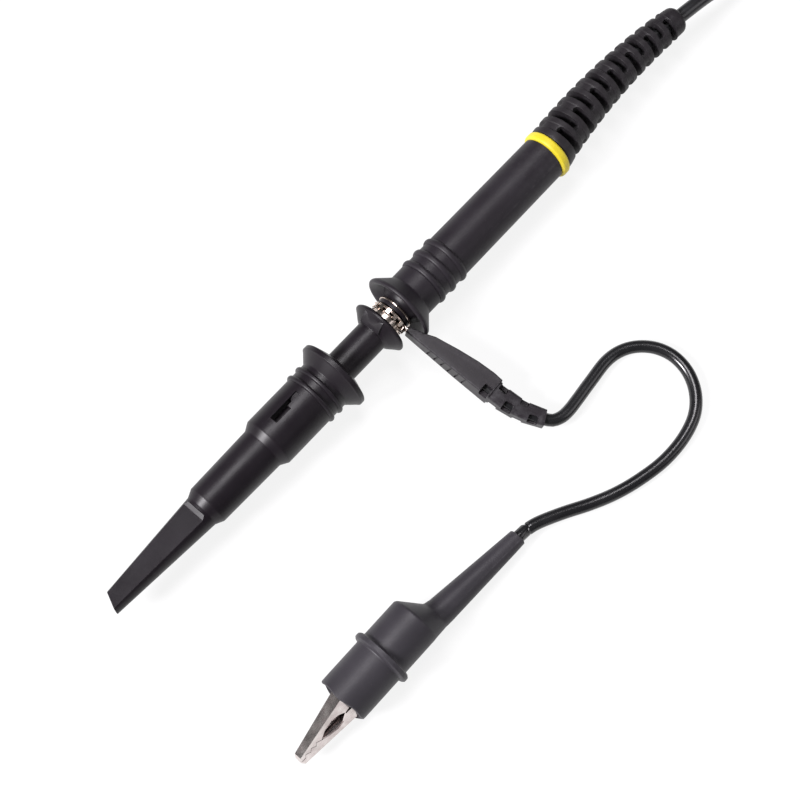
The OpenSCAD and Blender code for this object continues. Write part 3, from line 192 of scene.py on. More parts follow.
CABLE_ROUTE = [
    BOOT_END,
    BOOT_END + CABLE_D * unit(BOOT_END - boot_point(BOOT_LEN * 13 / 14)),
    *[Vector((BOOT_END.x + x, y, z)) for x, y, z in (
        (10.3, -1, 9.9), (17.3, -1.9, 8.5), (24.3, -2.7, 6.8), (31.3, -3.4, 5.2), (38.3, -4, 3.9),
        (47.3, -4.4, 3),
    )],
    coil_point(0) - Vector((2 * CABLE_D, 0, 0)),
    coil_point(0) - Vector((CABLE_D, 0, 0)),
    *[coil_point(COIL_TURNS * k / 308) for k in range(309)],
    COIL_LAST,
    COIL_LAST + CABLE_D * TAIL_DIR,
    BOX_START - CABLE_D * TAIL_DIR,
    BOX_START,
]

PROBE_FRAME = placed(0, 0, AXIS_H)
HOOK_FRAME = PROBE_FRAME @ turned_about("X", -HOOK_TURNED)
CLIP_FRAME = (
    placed(RING_X, 0, AXIS_H)
    @ turned_about("Z", 2.6 - 90) @ turned_about("Y", 7) @ turned_about("X", -1)
)


def relief_point(k):
    """Where the relief's k-th block starts, in the clip's own millimetres."""
    p = Vector((CLIP_MOUTH + CLIP_LEN, CLIP_AXIS_Y, 0))
    for i in range(k):
        a = math.radians(RELIEF_STEP * i)
        p += (RELIEF_BLOCK if i < 4 else RELIEF_END) * Vector((math.cos(a), math.sin(a), 0))
    return p


def from_clip(p):
    """A point of the clip's own millimetres, in the bench's millimetres."""
    return (CLIP_FRAME @ (p / MM_PER_M)) * MM_PER_M + ORIGIN


LEAD_FROM = from_clip(relief_point(5))
CROC_TAIL_END = Vector((COVER_END_X + 34 + 0.2, -0.6, -6.9))
CROC_LEAD_TIP = Vector((44.6 + 5 + 0.3, -0.4, -3.9))
CROC_FRAME = (
    placed(LEAD_FROM.x - 28.1 - CROC_TAIL_END.x, LEAD_FROM.y - 10.69, 8.3)
    @ turned_about("X", -37.5)
)


def from_croc(p):
    """A point of the crocodile clip's own millimetres, in the bench's millimetres."""
    return (CROC_FRAME @ (p / MM_PER_M)) * MM_PER_M + ORIGIN


LEAD_ROUTE = [
    LEAD_FROM,
    *[Vector((LEAD_FROM.x + x, LEAD_FROM.y + y, z)) for x, y, z in (
        (1.3, -1.8, 4.1), (3.7, -2.9, 3.85), (6.5, -3.1, 3.55), (9.9, -2.8, 3.15),
        (16.9, -2, 2.4), (23.9, -1.4, 1.95), (28.9, -2.4, 1.75), (32.9, -5, 1.75),
        (35.9, -9.1, 1.75), (37.1, -14.1, 1.75), (36.1, -19.6, 1.75), (32.9, -24.6, 1.75),
        (27.9, -28.2, 1.75),
        (20.9, -30, 1.75), (12.9, -30.1, 1.75), (4.9, -28.6, 1.75), (-2.1, -26.4, 1.75),
        (-8.6, -23.4, 1.8), (-15.1, -19.8, 2.1), (-21.1, -16.9, 2.6), (-24.6, -15.8, 2.9),
    )],
    from_croc(CROC_TAIL_END),
    from_croc(CROC_LEAD_TIP),
]


# ---------------------------------------------------------------- effects shared by the finishes
def effect(name, inputs, outputs):
    """A new node group with float or vector inputs, each with its value, and float outputs."""
    group = bpy.data.node_groups.new(name, "ShaderNodeTree")
    for label, value in inputs:
        kind = "NodeSocketVector" if value is None else "NodeSocketFloat"
        socket = group.interface.new_socket(label, in_out="INPUT", socket_type=kind)
        if value is not None:
            socket.default_value = value
    for label in outputs:
        group.interface.new_socket(label, in_out="OUTPUT", socket_type="NodeSocketFloat")
    return group, group.nodes.new("NodeGroupInput"), group.nodes.new("NodeGroupOutput")


def feed(tree, socket, value):
    """Gives a socket its value: a number, a colour, or another node's output."""
    if isinstance(value, (int, float)):
        socket.default_value = value
    elif isinstance(value, tuple):
        socket.default_value = (*value, 1)
    else:
        tree.links.new(value, socket)


def spread(tree, value, low, high, to_low, to_high):
    """A value mapped from one range to another, and held there."""
    node = tree.nodes.new("ShaderNodeMapRange")
    limits = {"From Min": low, "From Max": high, "To Min": to_low, "To Max": to_high}
    for label, number in limits.items():
        node.inputs[label].default_value = number
    tree.links.new(value, node.inputs["Value"])
    return node.outputs["Result"]


def computed(tree, operation, a, b):
    """What comes of a calculation with two numbers or outputs."""
    node = tree.nodes.new("ShaderNodeMath")
    node.operation = operation
    feed(tree, node.inputs[0], a)
    feed(tree, node.inputs[1], b)
    return node.outputs["Value"]


def times(tree, a, b):
    return computed(tree, "MULTIPLY", a, b)


def noise(tree, vector, scale, detail=2.0):
    node = tree.nodes.new("ShaderNodeTexNoise")
    node.inputs["Detail"].default_value = detail
    tree.links.new(vector, node.inputs["Vector"])
    feed(tree, node.inputs["Scale"], scale)
    return node.outputs["Fac"]


def moulded_grain():
    """The fine sparked skin of a moulded piece, and slow changes of tone across it."""
    group, start, end = effect(
        "moulded_grain", [("Vector", None), ("Grain Scale", 4000)], ["Height", "Tone"]
    )
    fine = noise(group, start.outputs["Vector"], start.outputs["Grain Scale"])
    group.links.new(fine, end.inputs["Height"])
    slow = noise(group, start.outputs["Vector"], 90, 3)
    group.links.new(spread(group, slow, 0.35, 0.65, 0, 1), end.inputs["Tone"])
    return group


def worn_edges():
    """Rubbed edges: strong on sharp outer edges, broken up by noise."""
    group, start, end = effect("worn_edges", [("Vector", None), ("Amount", 1)], ["Mask"])
    bend = group.nodes.new("ShaderNodeNewGeometry").outputs["Pointiness"]
    patches = spread(group, noise(group, start.outputs["Vector"], 700, 4), 0.4, 0.65, 0.2, 1)
    rubbed = times(group, spread(group, bend, 0.52, 0.6, 0, 1), patches)
    group.links.new(times(group, rubbed, start.outputs["Amount"]), end.inputs["Mask"])
    return group


def handling_marks():
    """Faint smears that change the gloss, and a few specks of dust."""
    group, start, end = effect("handling_marks", [("Vector", None)], ["Gloss", "Dust"])
    smear = noise(group, start.outputs["Vector"], 160, 5)
    group.links.new(spread(group, smear, 0.4, 0.62, 0, 1), end.inputs["Gloss"])
    specks = noise(group, start.outputs["Vector"], 2600, 1)
    group.links.new(spread(group, specks, 0.72, 0.78, 0, 1), end.inputs["Dust"])
    return group


def drawn_metal():
    """Fine lines left in metal by turning, round the piece's X axis, and slow stains."""
    group, start, end = effect("drawn_metal", [("Vector", None)], ["Height", "Tone"])
    squeeze = group.nodes.new("ShaderNodeMapping")
    squeeze.inputs["Scale"].default_value = (1, 0.12, 0.12)
    group.links.new(start.outputs["Vector"], squeeze.inputs["Vector"])
    group.links.new(noise(group, squeeze.outputs["Vector"], 5200, 2), end.inputs["Height"])
    stain = noise(group, start.outputs["Vector"], 260, 4)
    group.links.new(spread(group, stain, 0.35, 0.7, 0, 1), end.inputs["Tone"])
    return group


def loop_pile():
    """The small curled loops of a hook-and-loop strap."""
    group, start, end = effect("loop_pile", [("Vector", None)], ["Height"])
    cells = group.nodes.new("ShaderNodeTexVoronoi")
    cells.inputs["Scale"].default_value = 1900
    group.links.new(start.outputs["Vector"], cells.inputs["Vector"])
    group.links.new(cells.outputs["Distance"], end.inputs["Height"])
    return group


GRAIN = moulded_grain()
WEAR = worn_edges()
MARKS = handling_marks()
DRAWN = drawn_metal()
PILE = loop_pile()


def started(name):
    """A new material, with its node tree, shader and place on the piece."""
    mat = bpy.data.materials.new(name)
    mat.use_nodes = True
    tree = mat.node_tree
    place = tree.nodes.new("ShaderNodeTexCoord").outputs["Object"]
    return mat, tree, tree.nodes["Principled BSDF"], place


def placed_effect(tree, group, place, **values):
    """One of the shared effects in a material, with its values; an underscore is a space."""
    node = tree.nodes.new("ShaderNodeGroup")
    node.node_tree = group
    tree.links.new(place, node.inputs["Vector"])
    for label, value in values.items():
        node.inputs[label.replace("_", " ")].default_value = value
    return node.outputs


def blended(tree, factor, first, second):
    """A colour between two colours; each is a tuple or another node's output."""
    node = tree.nodes.new("ShaderNodeMix")
    node.data_type = "RGBA"
    sockets = {s.identifier: s for s in node.inputs}
    for key, value in (("Factor_Float", factor), ("A_Color", first), ("B_Color", second)):
        feed(tree, sockets[key], value)
    return next(s for s in node.outputs if s.identifier == "Result_Color")


def bumped(tree, shader, height, depth):
    """Fine relief in the light alone, this many mm deep."""
    bump = tree.nodes.new("ShaderNodeBump")
    bump.inputs["Distance"].default_value = depth / MM_PER_M
    bump.inputs["Strength"].default_value = 1
    tree.links.new(height, bump.inputs["Height"])
    tree.links.new(bump.outputs["Normal"], shader.inputs["Normal"])


def moulded_plastic(
    name, dark, light, worn, roughness, depth, wear=0.6, scale=4000, specular=0.5,
):
    """A moulded or rubbery skin: two close tones, fine grain, smears, dust and rubbed edges."""
    mat, tree, shader, place = started(name)
    grain = placed_effect(tree, GRAIN, place, Grain_Scale=scale)
    marks = placed_effect(tree, MARKS, place)
    edges = placed_effect(tree, WEAR, place, Amount=wear)
    colour = blended(tree, grain["Tone"], dark, light)
    colour = blended(tree, times(tree, marks["Dust"], 0.05), colour, (0.3, 0.3, 0.3))
    colour = blended(tree, edges["Mask"], colour, worn)
    tree.links.new(colour, shader.inputs["Base Color"])
    gloss = spread(tree, marks["Gloss"], 0, 1, roughness - 0.02, roughness + 0.03)
    tree.links.new(gloss, shader.inputs["Roughness"])
    shader.inputs["Specular IOR Level"].default_value = specular
    bumped(tree, shader, grain["Height"], depth)
    return mat


def plated_metal(name, light, dull, roughness, depth=0.004, crevice_shade=0.0):
    """Plated or turned metal: fine lines, slow stains, painted shade in its crevices, brighter
    rubbed edges.
    """
    mat, tree, shader, place = started(name)
    drawn = placed_effect(tree, DRAWN, place)
    edges = placed_effect(tree, WEAR, place, Amount=0.5)
    colour = blended(tree, drawn["Tone"], light, dull)
    colour = blended(tree, edges["Mask"], colour, (0.86, 0.84, 0.8))
    # painted shade: the colour darkens where ambient occlusion finds close surfaces, in crevices
    # and between the jaws' teeth
    if crevice_shade:
        occlusion = tree.nodes.new("ShaderNodeAmbientOcclusion")
        occlusion.samples = 8
        occlusion.inputs["Distance"].default_value = SHADE_REACH / MM_PER_M
        painted_shade = spread(tree, occlusion.outputs["AO"], 0.45, 0.85, crevice_shade, 0)
        colour = blended(tree, painted_shade, colour, (0.03, 0.024, 0.022))
    tree.links.new(colour, shader.inputs["Base Color"])
    gloss = spread(tree, drawn["Tone"], 0, 1, roughness, roughness + 0.12)
    tree.links.new(gloss, shader.inputs["Roughness"])
    shader.inputs["Metallic"].default_value = 1
    bumped(tree, shader, drawn["Height"], depth)
    return mat


def strap_fabric():
    """The black cloth of a hook-and-loop strap."""
    mat, tree, shader, place = started("hook_and_loop_black")
    pile = placed_effect(tree, PILE, place)
    grain = placed_effect(tree, GRAIN, place, Grain_Scale=900)
    colour = blended(tree, grain["Tone"], (0.012, 0.012, 0.013), (0.03, 0.03, 0.033))
    tree.links.new(colour, shader.inputs["Base Color"])
    gloss = spread(tree, pile["Height"], 0, 0.6, 0.95, 0.75)
    tree.links.new(gloss, shader.inputs["Roughness"])
    shader.inputs["Sheen Weight"].default_value = 0.3
    bumped(tree, shader, pile["Height"], 0.25)
    return mat


def bench_white():
    """A white bench top: it keeps shadows, and is lifted towards white where it is seen."""
    mat = bpy.data.materials.new("bench_white")
    mat.use_nodes = True
    tree = mat.node_tree
    shader = tree.nodes["Principled BSDF"]
    shader.inputs["Base Color"].default_value = (0.88, 0.88, 0.88, 1)
    shader.inputs["Roughness"].default_value = 0.8
    shader.inputs["Specular IOR Level"].default_value = 0.1
    glow = tree.nodes.new("ShaderNodeEmission")
    glow.inputs["Strength"].default_value = 1
    path = tree.nodes.new("ShaderNodeLightPath").outputs
    seen = path["Is Camera Ray"]
    for other in ("Is Glossy Ray", "Is Transmission Ray"):
        seen = computed(tree, "MAXIMUM", seen, path[other])
    mix = tree.nodes.new("ShaderNodeMixShader")
    tree.links.new(times(tree, seen, FLOOR_LIFT), mix.inputs["Fac"])
    tree.links.new(shader.outputs["BSDF"], mix.inputs[1])
    tree.links.new(glow.outputs["Emission"], mix.inputs[2])
    tree.links.new(mix.outputs["Shader"], tree.nodes["Material Output"].inputs["Surface"])
    return mat


SLEEVE_BLACK = moulded_plastic(
    "sleeve_black_nylon", (0.0066, 0.0048, 0.0068), (0.0100, 0.0078, 0.0104), (0.03, 0.028, 0.032),
    roughness=0.38, depth=0.008, specular=0.26,
)
HANDLE_GREY = moulded_plastic(
    "handle_dark_plastic", (0.0122, 0.0098, 0.0128), (0.0162, 0.0135, 0.0172),
    (0.045, 0.043, 0.047), roughness=0.46, depth=0.015, specular=0.26,
)
BOOT_RUBBER = moulded_plastic(
    "boot_soft_rubber", (0.0112, 0.0092, 0.0112), (0.0150, 0.0128, 0.0150), (0.04, 0.038, 0.041),
    roughness=0.48, depth=0.015, specular=0.3,
)
CABLE_JACKET = moulded_plastic(
    "cable_black_jacket", (0.010, 0.010, 0.011), (0.017, 0.017, 0.019), (0.03, 0.03, 0.03),
    roughness=0.3, depth=0.006, wear=0.1, scale=2500,
)
LEAD_JACKET = moulded_plastic(
    "ground_wire_jacket", (0.006, 0.006, 0.007), (0.012, 0.012, 0.013), (0.03, 0.03, 0.03),
    roughness=0.22, depth=0.006, wear=0.1, scale=2500,
)
CLIP_GREY = moulded_plastic(
    "clip_dark_polypropylene", (0.0122, 0.0098, 0.0122), (0.0165, 0.0138, 0.0170),
    (0.06, 0.058, 0.062), roughness=0.38, depth=0.01, specular=0.24,
)
COVER_PVC = moulded_plastic(
    "cover_grey_vinyl", (0.025, 0.0228, 0.0272), (0.030, 0.0275, 0.0326), (0.07, 0.067, 0.074),
    roughness=0.46, depth=0.012, scale=2200, specular=0.3,
)
RING_YELLOW = moulded_plastic(
    "marker_ring_yellow", (0.54, 0.44, 0.018), (0.61, 0.50, 0.028), (0.7, 0.62, 0.15),
    roughness=0.42, depth=0.008, specular=0.3,
)
BOX_BLACK = moulded_plastic(
    "box_textured_black", (0.016, 0.016, 0.018), (0.026, 0.026, 0.028), (0.07, 0.07, 0.07),
    roughness=0.5, depth=0.05, scale=1500,
)
WHITE_INSULATOR = moulded_plastic(
    "insulator_white", (0.74, 0.73, 0.69), (0.82, 0.81, 0.78), (0.85, 0.85, 0.82),
    roughness=0.4, depth=0.008, wear=0.2,
)
BOARD_GREEN = moulded_plastic(
    "board_green_mask", (0.015, 0.10, 0.04), (0.025, 0.15, 0.06), (0.3, 0.28, 0.15),
    roughness=0.35, depth=0.02, wear=0.4,
)
RESISTOR_BLUE = moulded_plastic(
    "resistor_blue_lacquer", (0.10, 0.25, 0.5), (0.14, 0.32, 0.6), (0.4, 0.45, 0.5),
    roughness=0.3, depth=0.02, wear=0.2,
)
CAPACITOR_TAN = moulded_plastic(
    "capacitor_tan_ceramic", (0.5, 0.25, 0.08), (0.6, 0.32, 0.12), (0.6, 0.5, 0.4),
    roughness=0.5, depth=0.03, wear=0.2,
)
NICKEL = plated_metal(
    "nickel_plate", (0.74, 0.69, 0.64), (0.62, 0.56, 0.5), roughness=0.14, depth=0.001,
)
# the jaws get painted shade in the crevices between their teeth
JAW_NICKEL = plated_metal(
    "jaw_nickel_steel", (0.72, 0.64, 0.63), (0.56, 0.48, 0.47),
    roughness=0.17, depth=0.001, crevice_shade=0.9,
)
# the collar's metal gets painted shade in its crevices
COLLAR_NICKEL = plated_metal(
    "collar_warm_nickel", (0.72, 0.60, 0.52), (0.42, 0.33, 0.28),
    roughness=0.16, depth=0.001, crevice_shade=1.0,
)
SPRING_STEEL = plated_metal(
    "spring_steel_wire", (0.5, 0.49, 0.48), (0.36, 0.35, 0.34), roughness=0.25,
)
GOLD_CONTACT = plated_metal(
    "gold_contact", (0.80, 0.58, 0.24), (0.66, 0.46, 0.18), roughness=0.18,
)
BRASS = plated_metal("trimmer_brass", (0.62, 0.48, 0.22), (0.48, 0.36, 0.16), roughness=0.28)
STRAP = strap_fabric()


# ---------------------------------------------------------------- modelling steps
def clear_selection():
    if bpy.context.object and bpy.context.object.mode != "OBJECT":
        bpy.ops.object.mode_set(mode="OBJECT")
    bpy.ops.object.select_all(action="DESELECT")


def chosen(obj):
    clear_selection()
    bpy.context.view_layer.objects.active = obj
    obj.select_set(True)
    return obj


def drawn_line(name, points):
    """A line drawn point by point, left open in edit mode with all of it selected; points in mm."""
    clear_selection()
    start = Vector(points[0]) / MM_PER_M
    bpy.ops.mesh.primitive_plane_add(size=0.001, location=(0, 0, 0))
    obj = bpy.context.object
    obj.name = obj.data.name = name
    bpy.ops.object.mode_set(mode="EDIT")
    bpy.ops.mesh.merge(type="CENTER")
    bpy.ops.transform.translate(value=start)
    for a, b in zip(points, points[1:]):
        step = (Vector(b) - Vector(a)) / MM_PER_M
        bpy.ops.mesh.extrude_region_move(TRANSFORM_OT_translate={"value": step})
    bpy.ops.mesh.select_all(action="SELECT")
    return obj


def closed_up():
    """Ends the edit of a piece: doubled points are welded and its faces look outwards."""
    bpy.ops.mesh.select_all(action="SELECT")
    bpy.ops.mesh.remove_doubles(threshold=WELD_GAP / MM_PER_M)
    bpy.ops.mesh.normals_make_consistent(inside=False)
    bpy.ops.object.mode_set(mode="OBJECT")


def turned_piece(name, outline, steps=96):
    """A piece turned about its X axis from an outline of (place, radius)."""
    obj = drawn_line(name, [(x, 0, r) for x, r in outline])
    bpy.ops.mesh.spin(steps=steps, angle=2 * math.pi, center=(0, 0, 0), axis=(1, 0, 0))
    closed_up()
    return obj


def slab(name, outline, plane, low, high):
    """A flat outline, in the "XY", "XZ" or "YZ" plane, extruded from low to high across it."""
    across = {"XY": 2, "XZ": 1, "YZ": 0}[plane]
    rise = Vector((0, 0, 0))
    rise[across] = 1
    obj = drawn_line(name, [(*p[:across], low, *p[across:]) for p in outline])
    bpy.ops.mesh.edge_face_add()
    bpy.ops.mesh.extrude_region_move(
        TRANSFORM_OT_translate={"value": rise * (high - low) / MM_PER_M}
    )
    closed_up()
    return obj


def block(name, low, high):
    """A block between two corners, in mm."""
    clear_selection()
    low, high = Vector(low) / MM_PER_M, Vector(high) / MM_PER_M
    bpy.ops.mesh.primitive_cube_add(size=1, location=(low + high) / 2)
    obj = bpy.context.object
    obj.name = obj.data.name = name
    obj.scale = high - low
    bpy.ops.object.transform_apply(location=True, rotation=True, scale=True)
    return obj


def rod(name, middle, axis, radius, length, sides=48):
    """A round bar used as a cutter or a pin, its middle and size in mm."""
    clear_selection()
    bpy.ops.mesh.primitive_cylinder_add(
        vertices=sides, radius=radius / MM_PER_M, depth=length / MM_PER_M,
        location=Vector(middle) / MM_PER_M,
        rotation=Vector((0, 0, 1)).rotation_difference(Vector(axis)).to_euler(),
    )
    obj = bpy.context.object
    obj.name = obj.data.name = name
    bpy.ops.object.transform_apply(location=True, rotation=True, scale=True)
    return obj


def copied(obj, shift=(0, 0, 0), about_x=0.0):
    """A copy with its own mesh, turned about the X axis and then moved, in mm."""
    twin = obj.copy()
    twin.data = obj.data.copy()
    bpy.context.scene.collection.objects.link(twin)
    twin.data.transform(Matrix.Translation(Vector(shift) / MM_PER_M) @ turned_about("X", about_x))
    return twin


def joined(name, pieces):
    clear_selection()
    for piece in pieces:
        piece.select_set(True)
    bpy.context.view_layer.objects.active = pieces[0]
    bpy.ops.object.join()
    pieces[0].name = pieces[0].data.name = name
    return pieces[0]


def combined(obj, others, operation="DIFFERENCE"):
    """Cuts, adds or keeps what is common with the other objects, which are used up."""
    tool = joined("tool", others) if len(others) > 1 else others[0]
    chosen(obj)
    change = obj.modifiers.new("combine", "BOOLEAN")
    change.operation = operation
    change.solver = "EXACT"
    change.use_self = len(others) > 1
    change.object = tool
    bpy.ops.object.modifier_apply(modifier=change.name)
    bpy.data.objects.remove(tool)
    return obj


def softened(obj, width=0.15, segments=2, angle=32):
    """Rounds the piece's sharp edges and shades it smoothly."""
    chosen(obj)
    bpy.ops.object.mode_set(mode="EDIT")
    bpy.ops.mesh.select_all(action="SELECT")
    bpy.ops.mesh.remove_doubles(threshold=SOFTENING_GAP / MM_PER_M)
    bpy.ops.mesh.dissolve_limited(angle_limit=math.radians(0.4))
    bpy.ops.object.mode_set(mode="OBJECT")
    edge = obj.modifiers.new("soft_edges", "BEVEL")
    edge.width = width / MM_PER_M
    edge.segments = segments
    edge.limit_method = "ANGLE"
    edge.angle_limit = math.radians(angle)
    edge.use_clamp_overlap = True
    bpy.ops.object.modifier_apply(modifier=edge.name)
    return evenly_lit(smooth(obj))


def smooth(obj, angle=35):
    chosen(obj)
    bpy.ops.object.shade_smooth_by_angle(angle=math.radians(angle))
    return obj


def evenly_lit(obj):
    """Large faces keep their own direction of light, and the edges take up the turn."""
    flat = obj.modifiers.new("flat_faces", "WEIGHTED_NORMAL")
    flat.keep_sharp = True
    bpy.ops.object.modifier_apply(modifier=flat.name)
    return obj


def settled(obj, place):
    """Moves a piece from its own frame into its place, and leaves that place in its mesh."""
    chosen(obj)
    obj.matrix_world = place
    bpy.ops.object.transform_apply(location=True, rotation=True, scale=True)
    return obj


def reshaped(obj, move):
    """Lays each point of a straight piece, in mm, where move() sends it on the bench."""
    for vertex in obj.data.vertices:
        vertex.co = bench(*move(vertex.co * MM_PER_M))
    return obj


def finished(obj, material, body, *nodes):
    """Gives a piece its finish, the body it rides on, if any, and the nodes it replaces."""
    obj.data.materials.clear()
    obj.data.materials.append(material)
    if body:
        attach(obj, body)
    if nodes:
        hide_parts(*nodes)
    return obj


def rounded(outline, radius=0.3, steps=3):
    """The outline with its corners rounded off, apart from its ends."""
    points = [Vector(p) for p in outline]
    line = [points[0]]
    for k in range(1, len(points) - 1):
        a, b, c = points[k - 1:k + 2]
        reach = min(radius, 0.45 * (a - b).length, 0.45 * (c - b).length)
        if reach < 0.01:
            line.append(b)
            continue
        p, q = b + reach * unit(a - b), b + reach * unit(c - b)
        for i in range(steps + 1):
            t = i / steps
            line.append((1 - t) ** 2 * p + 2 * t * (1 - t) * b + t * t * q)
    return [tuple(p) for p in line + [points[-1]]]


def rib(x, half, valley, top):
    """A rounded rib of an outline, from valley radius up to top radius and back."""
    turns = [math.pi * k / RIB_STEPS for k in range(RIB_STEPS + 1)]
    return [(x - half * math.cos(a), valley + (top - valley) * math.sin(a)) for a in turns]


def at_angle(radius, degrees):
    """Two numbers for a point at this distance and angle round a piece's axis."""
    a = math.radians(degrees)
    return radius * math.cos(a), radius * math.sin(a)


# ---------------------------------------------------------------- camera, floor and light
def studio():
    """The camera, the bench top, and three soft lamps that look at the frame's origin."""
    camera = bpy.data.objects.new("camera", bpy.data.cameras.new("camera"))
    bpy.context.scene.collection.objects.link(camera)
    camera.location = bench(-8.157, -102.719, 402.369)
    camera.rotation_euler = (math.radians(18), 0, math.radians(-47.9))
    camera.data.sensor_width = 36
    camera.data.lens = 72
    camera.data.clip_start = 0.01
    bpy.context.scene.camera = camera

    clear_selection()
    bpy.ops.mesh.primitive_plane_add(size=6, location=(0, 0, 0))
    floor = bpy.context.object
    floor.name = "bench_top"
    floor.data.materials.append(bench_white())

    world = bpy.data.worlds.new("studio")
    bpy.context.scene.world = world
    world.use_nodes = True
    sky = world.node_tree.nodes["Background"].inputs
    sky["Color"].default_value = (1, 1, 1, 1)
    sky["Strength"].default_value = WORLD_LIGHT

    for name, place, size, watts in (
        ("top_softbox", (0.14, 0.27, 1.05), 0.42, 8),
        ("tip_softbox", (-0.95, 0.38, 0.85), 0.38, 30),
        ("fill_softbox", (0.7, -0.9, 0.7), 0.7, 2.5),
    ):
        lamp = bpy.data.lights.new(name, "AREA")
        lamp.shape = "SQUARE"
        lamp.size = size
        lamp.energy = watts
        lamp.color = LAMP_TINT
        obj = bpy.data.objects.new(name, lamp)
        bpy.context.scene.collection.objects.link(obj)
        obj.location = place
        obj.rotation_euler = (-Vector(place)).to_track_quat("-Z", "Y").to_euler()
    bpy.context.scene.view_settings.view_transform = "Standard"


# ---------------------------------------------------------------- cords and wires
def wire_piece(name, line, diameter, resolution=5):
    """A wire or cord as one open curve with a round section, through points in mm."""
    curve = bpy.data.curves.new(name, "CURVE")
    curve.dimensions = "3D"
    curve.bevel_depth = diameter / (2 * MM_PER_M)
    curve.bevel_resolution = resolution
    curve.use_fill_caps = True
    spline = curve.splines.new("POLY")
    spline.points.add(len(line) - 1)
    for p, q in zip(spline.points, line):
        p.co = (*bench(*q), 1)
    obj = bpy.data.objects.new(name, curve)
    bpy.context.scene.collection.objects.link(obj)
    return obj


def as_mesh(obj):
    chosen(obj)
    bpy.ops.object.convert(target="MESH")
    return smooth(bpy.context.object, 40)


def free_cords():
    """The coaxial cable from the boot to the box, and the ground lead."""
    cable = wire_piece("coaxial_cable", smooth_path(CABLE_ROUTE, 1), CABLE_D)
    finished(cable, CABLE_JACKET, "root", "cable_run", "cable_coil", "cable_tail")
    lead = wire_piece("ground_wire", smooth_path(LEAD_ROUTE, 1), LEAD_D)
    finished(lead, LEAD_JACKET, "ground_clip", "ground_lead")


def held_wires():
    """The stretches of cord and lead that other pieces hold, and the springs."""
    line = [Vector((x, 0, AXIS_H)) for x in (158.6, 161.8)]
    line += [boot_point(BOOT_LEN * k / 40) for k in range(41)]
    wire = as_mesh(wire_piece("cable_in_boot", line, CABLE_D))
    finished(wire, CABLE_JACKET, "root", "boot_cable")

    line = [from_clip(relief_point(0) - Vector((8, 0, 0)))]
    line += [from_clip(relief_point(k)) for k in range(6)]
    wire = as_mesh(wire_piece("lead_in_clip", smooth_path(line, 0.6), LEAD_D))
    finished(wire, LEAD_JACKET, "ground_clip")

    r, first, last, steps = 3.55, CAVITY_X + 0.65, BARREL_FRONT_X - 0.65, 8 * POINTS_PER_TURN
    line = []
    for k in range(steps + 1):
        a = 2 * math.pi * k / POINTS_PER_TURN
        x = first + (last - first) * k / steps
        line.append(Vector((x, r * math.cos(a), AXIS_H + r * math.sin(a))))
    spring = as_mesh(wire_piece("hook_return_spring", line, 0.7, resolution=3))
    finished(spring, SPRING_STEEL, None, "hook_spring")
    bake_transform(spring)

    r, wide, steps = 1.35, 2.2, 3 * POINTS_PER_TURN
    line = []
    for k in range(steps + 1):
        a = math.pi / 2 + 2 * math.pi * k / POINTS_PER_TURN
        y = -wide / 2 + wide * k / steps
        line.append(from_croc(Vector((27 + r * math.cos(a), y, -0.4 + r * math.sin(a)))))
    spring = as_mesh(wire_piece("jaw_coil_spring", line, 0.5, resolution=3))
    finished(spring, SPRING_STEEL, "ground_clip", "jaw_spring")


# ---------------------------------------------------------------- hook and its sleeve
def nose_cutters():
    """The flat on the nose with its hollow end, and the slanting tip."""
    end_x, end_z, top_x = 29.0, 3.2, NOSE_LEN - 0.7
    hollow = rounded([
        (-4, end_z - 0.0421 * (end_x + 4)), (end_x, end_z), (top_x, end_z + 0.62),
        (top_x + 0.3, 9),
    ], 0.2)
    flat = slab("flat", [*hollow, (-4, 9)], "XZ", -8, 8)
    tip = slab("tip", [(-3.73, -8), (2.73, 8), (-12, 8), (-12, -8)], "XY", -8, 8)
    return [flat, tip]


def hook_sleeve():
    """The sleeve, with its nose, window, ribs and finger flange; its bore is cut last."""
    rear_r = 7.45
    ribs = [p for k in range(2) for p in rib(REAR_X + 0.8 + k * RIB_PITCH, 0.7, rear_r, 8.1)]
    outer = rounded([
        (-1.8, 0.5), (-1.8, 2.79), (NOSE_LEN, 4.8), (FRONT_X, 5.85), (MID_X, 6.2),
        (MID_X + 2.2, rear_r), (REAR_X, rear_r),
    ], 0.2)
    flange = rounded([
        (75.3, rear_r), (76.3, rear_r), (78.95, 10.0), (79.2, 10.35), (80.4, 10.35),
        (80.65, 10.05), (81.74, 7.15), (SLEEVE_END_X, 5.95), (SLEEVE_END_X, 4.6),
    ], 0.12)
    inside = [(CAVITY_X, 4.6), (CAVITY_X, 1), (-1.8, 1)]
    sleeve = turned_piece("spring_loaded_sleeve", [(-1.8, 1), *outer[1:], *ribs, *flange, *inside])
    combined(sleeve, nose_cutters())
    wide = block("wide", (WINDOW_X, -1.2, 3), (WINDOW_X + 0.55 * WINDOW_LEN, 1.2, 9))
    narrow = block("narrow", (WINDOW_X + 0.2, 0, 3), (WINDOW_X + WINDOW_LEN, 1.2, 9))
    combined(sleeve, [wide, narrow])
    softened(sleeve, 0.12, 2, 30)
    combined(sleeve, [rod("hook_bore", (17, 0, 0), (1, 0, 0), 1.7, 42)])
    return finished(settled(sleeve, HOOK_FRAME), SLEEVE_BLACK, "hook_sleeve", "hook_sleeve")


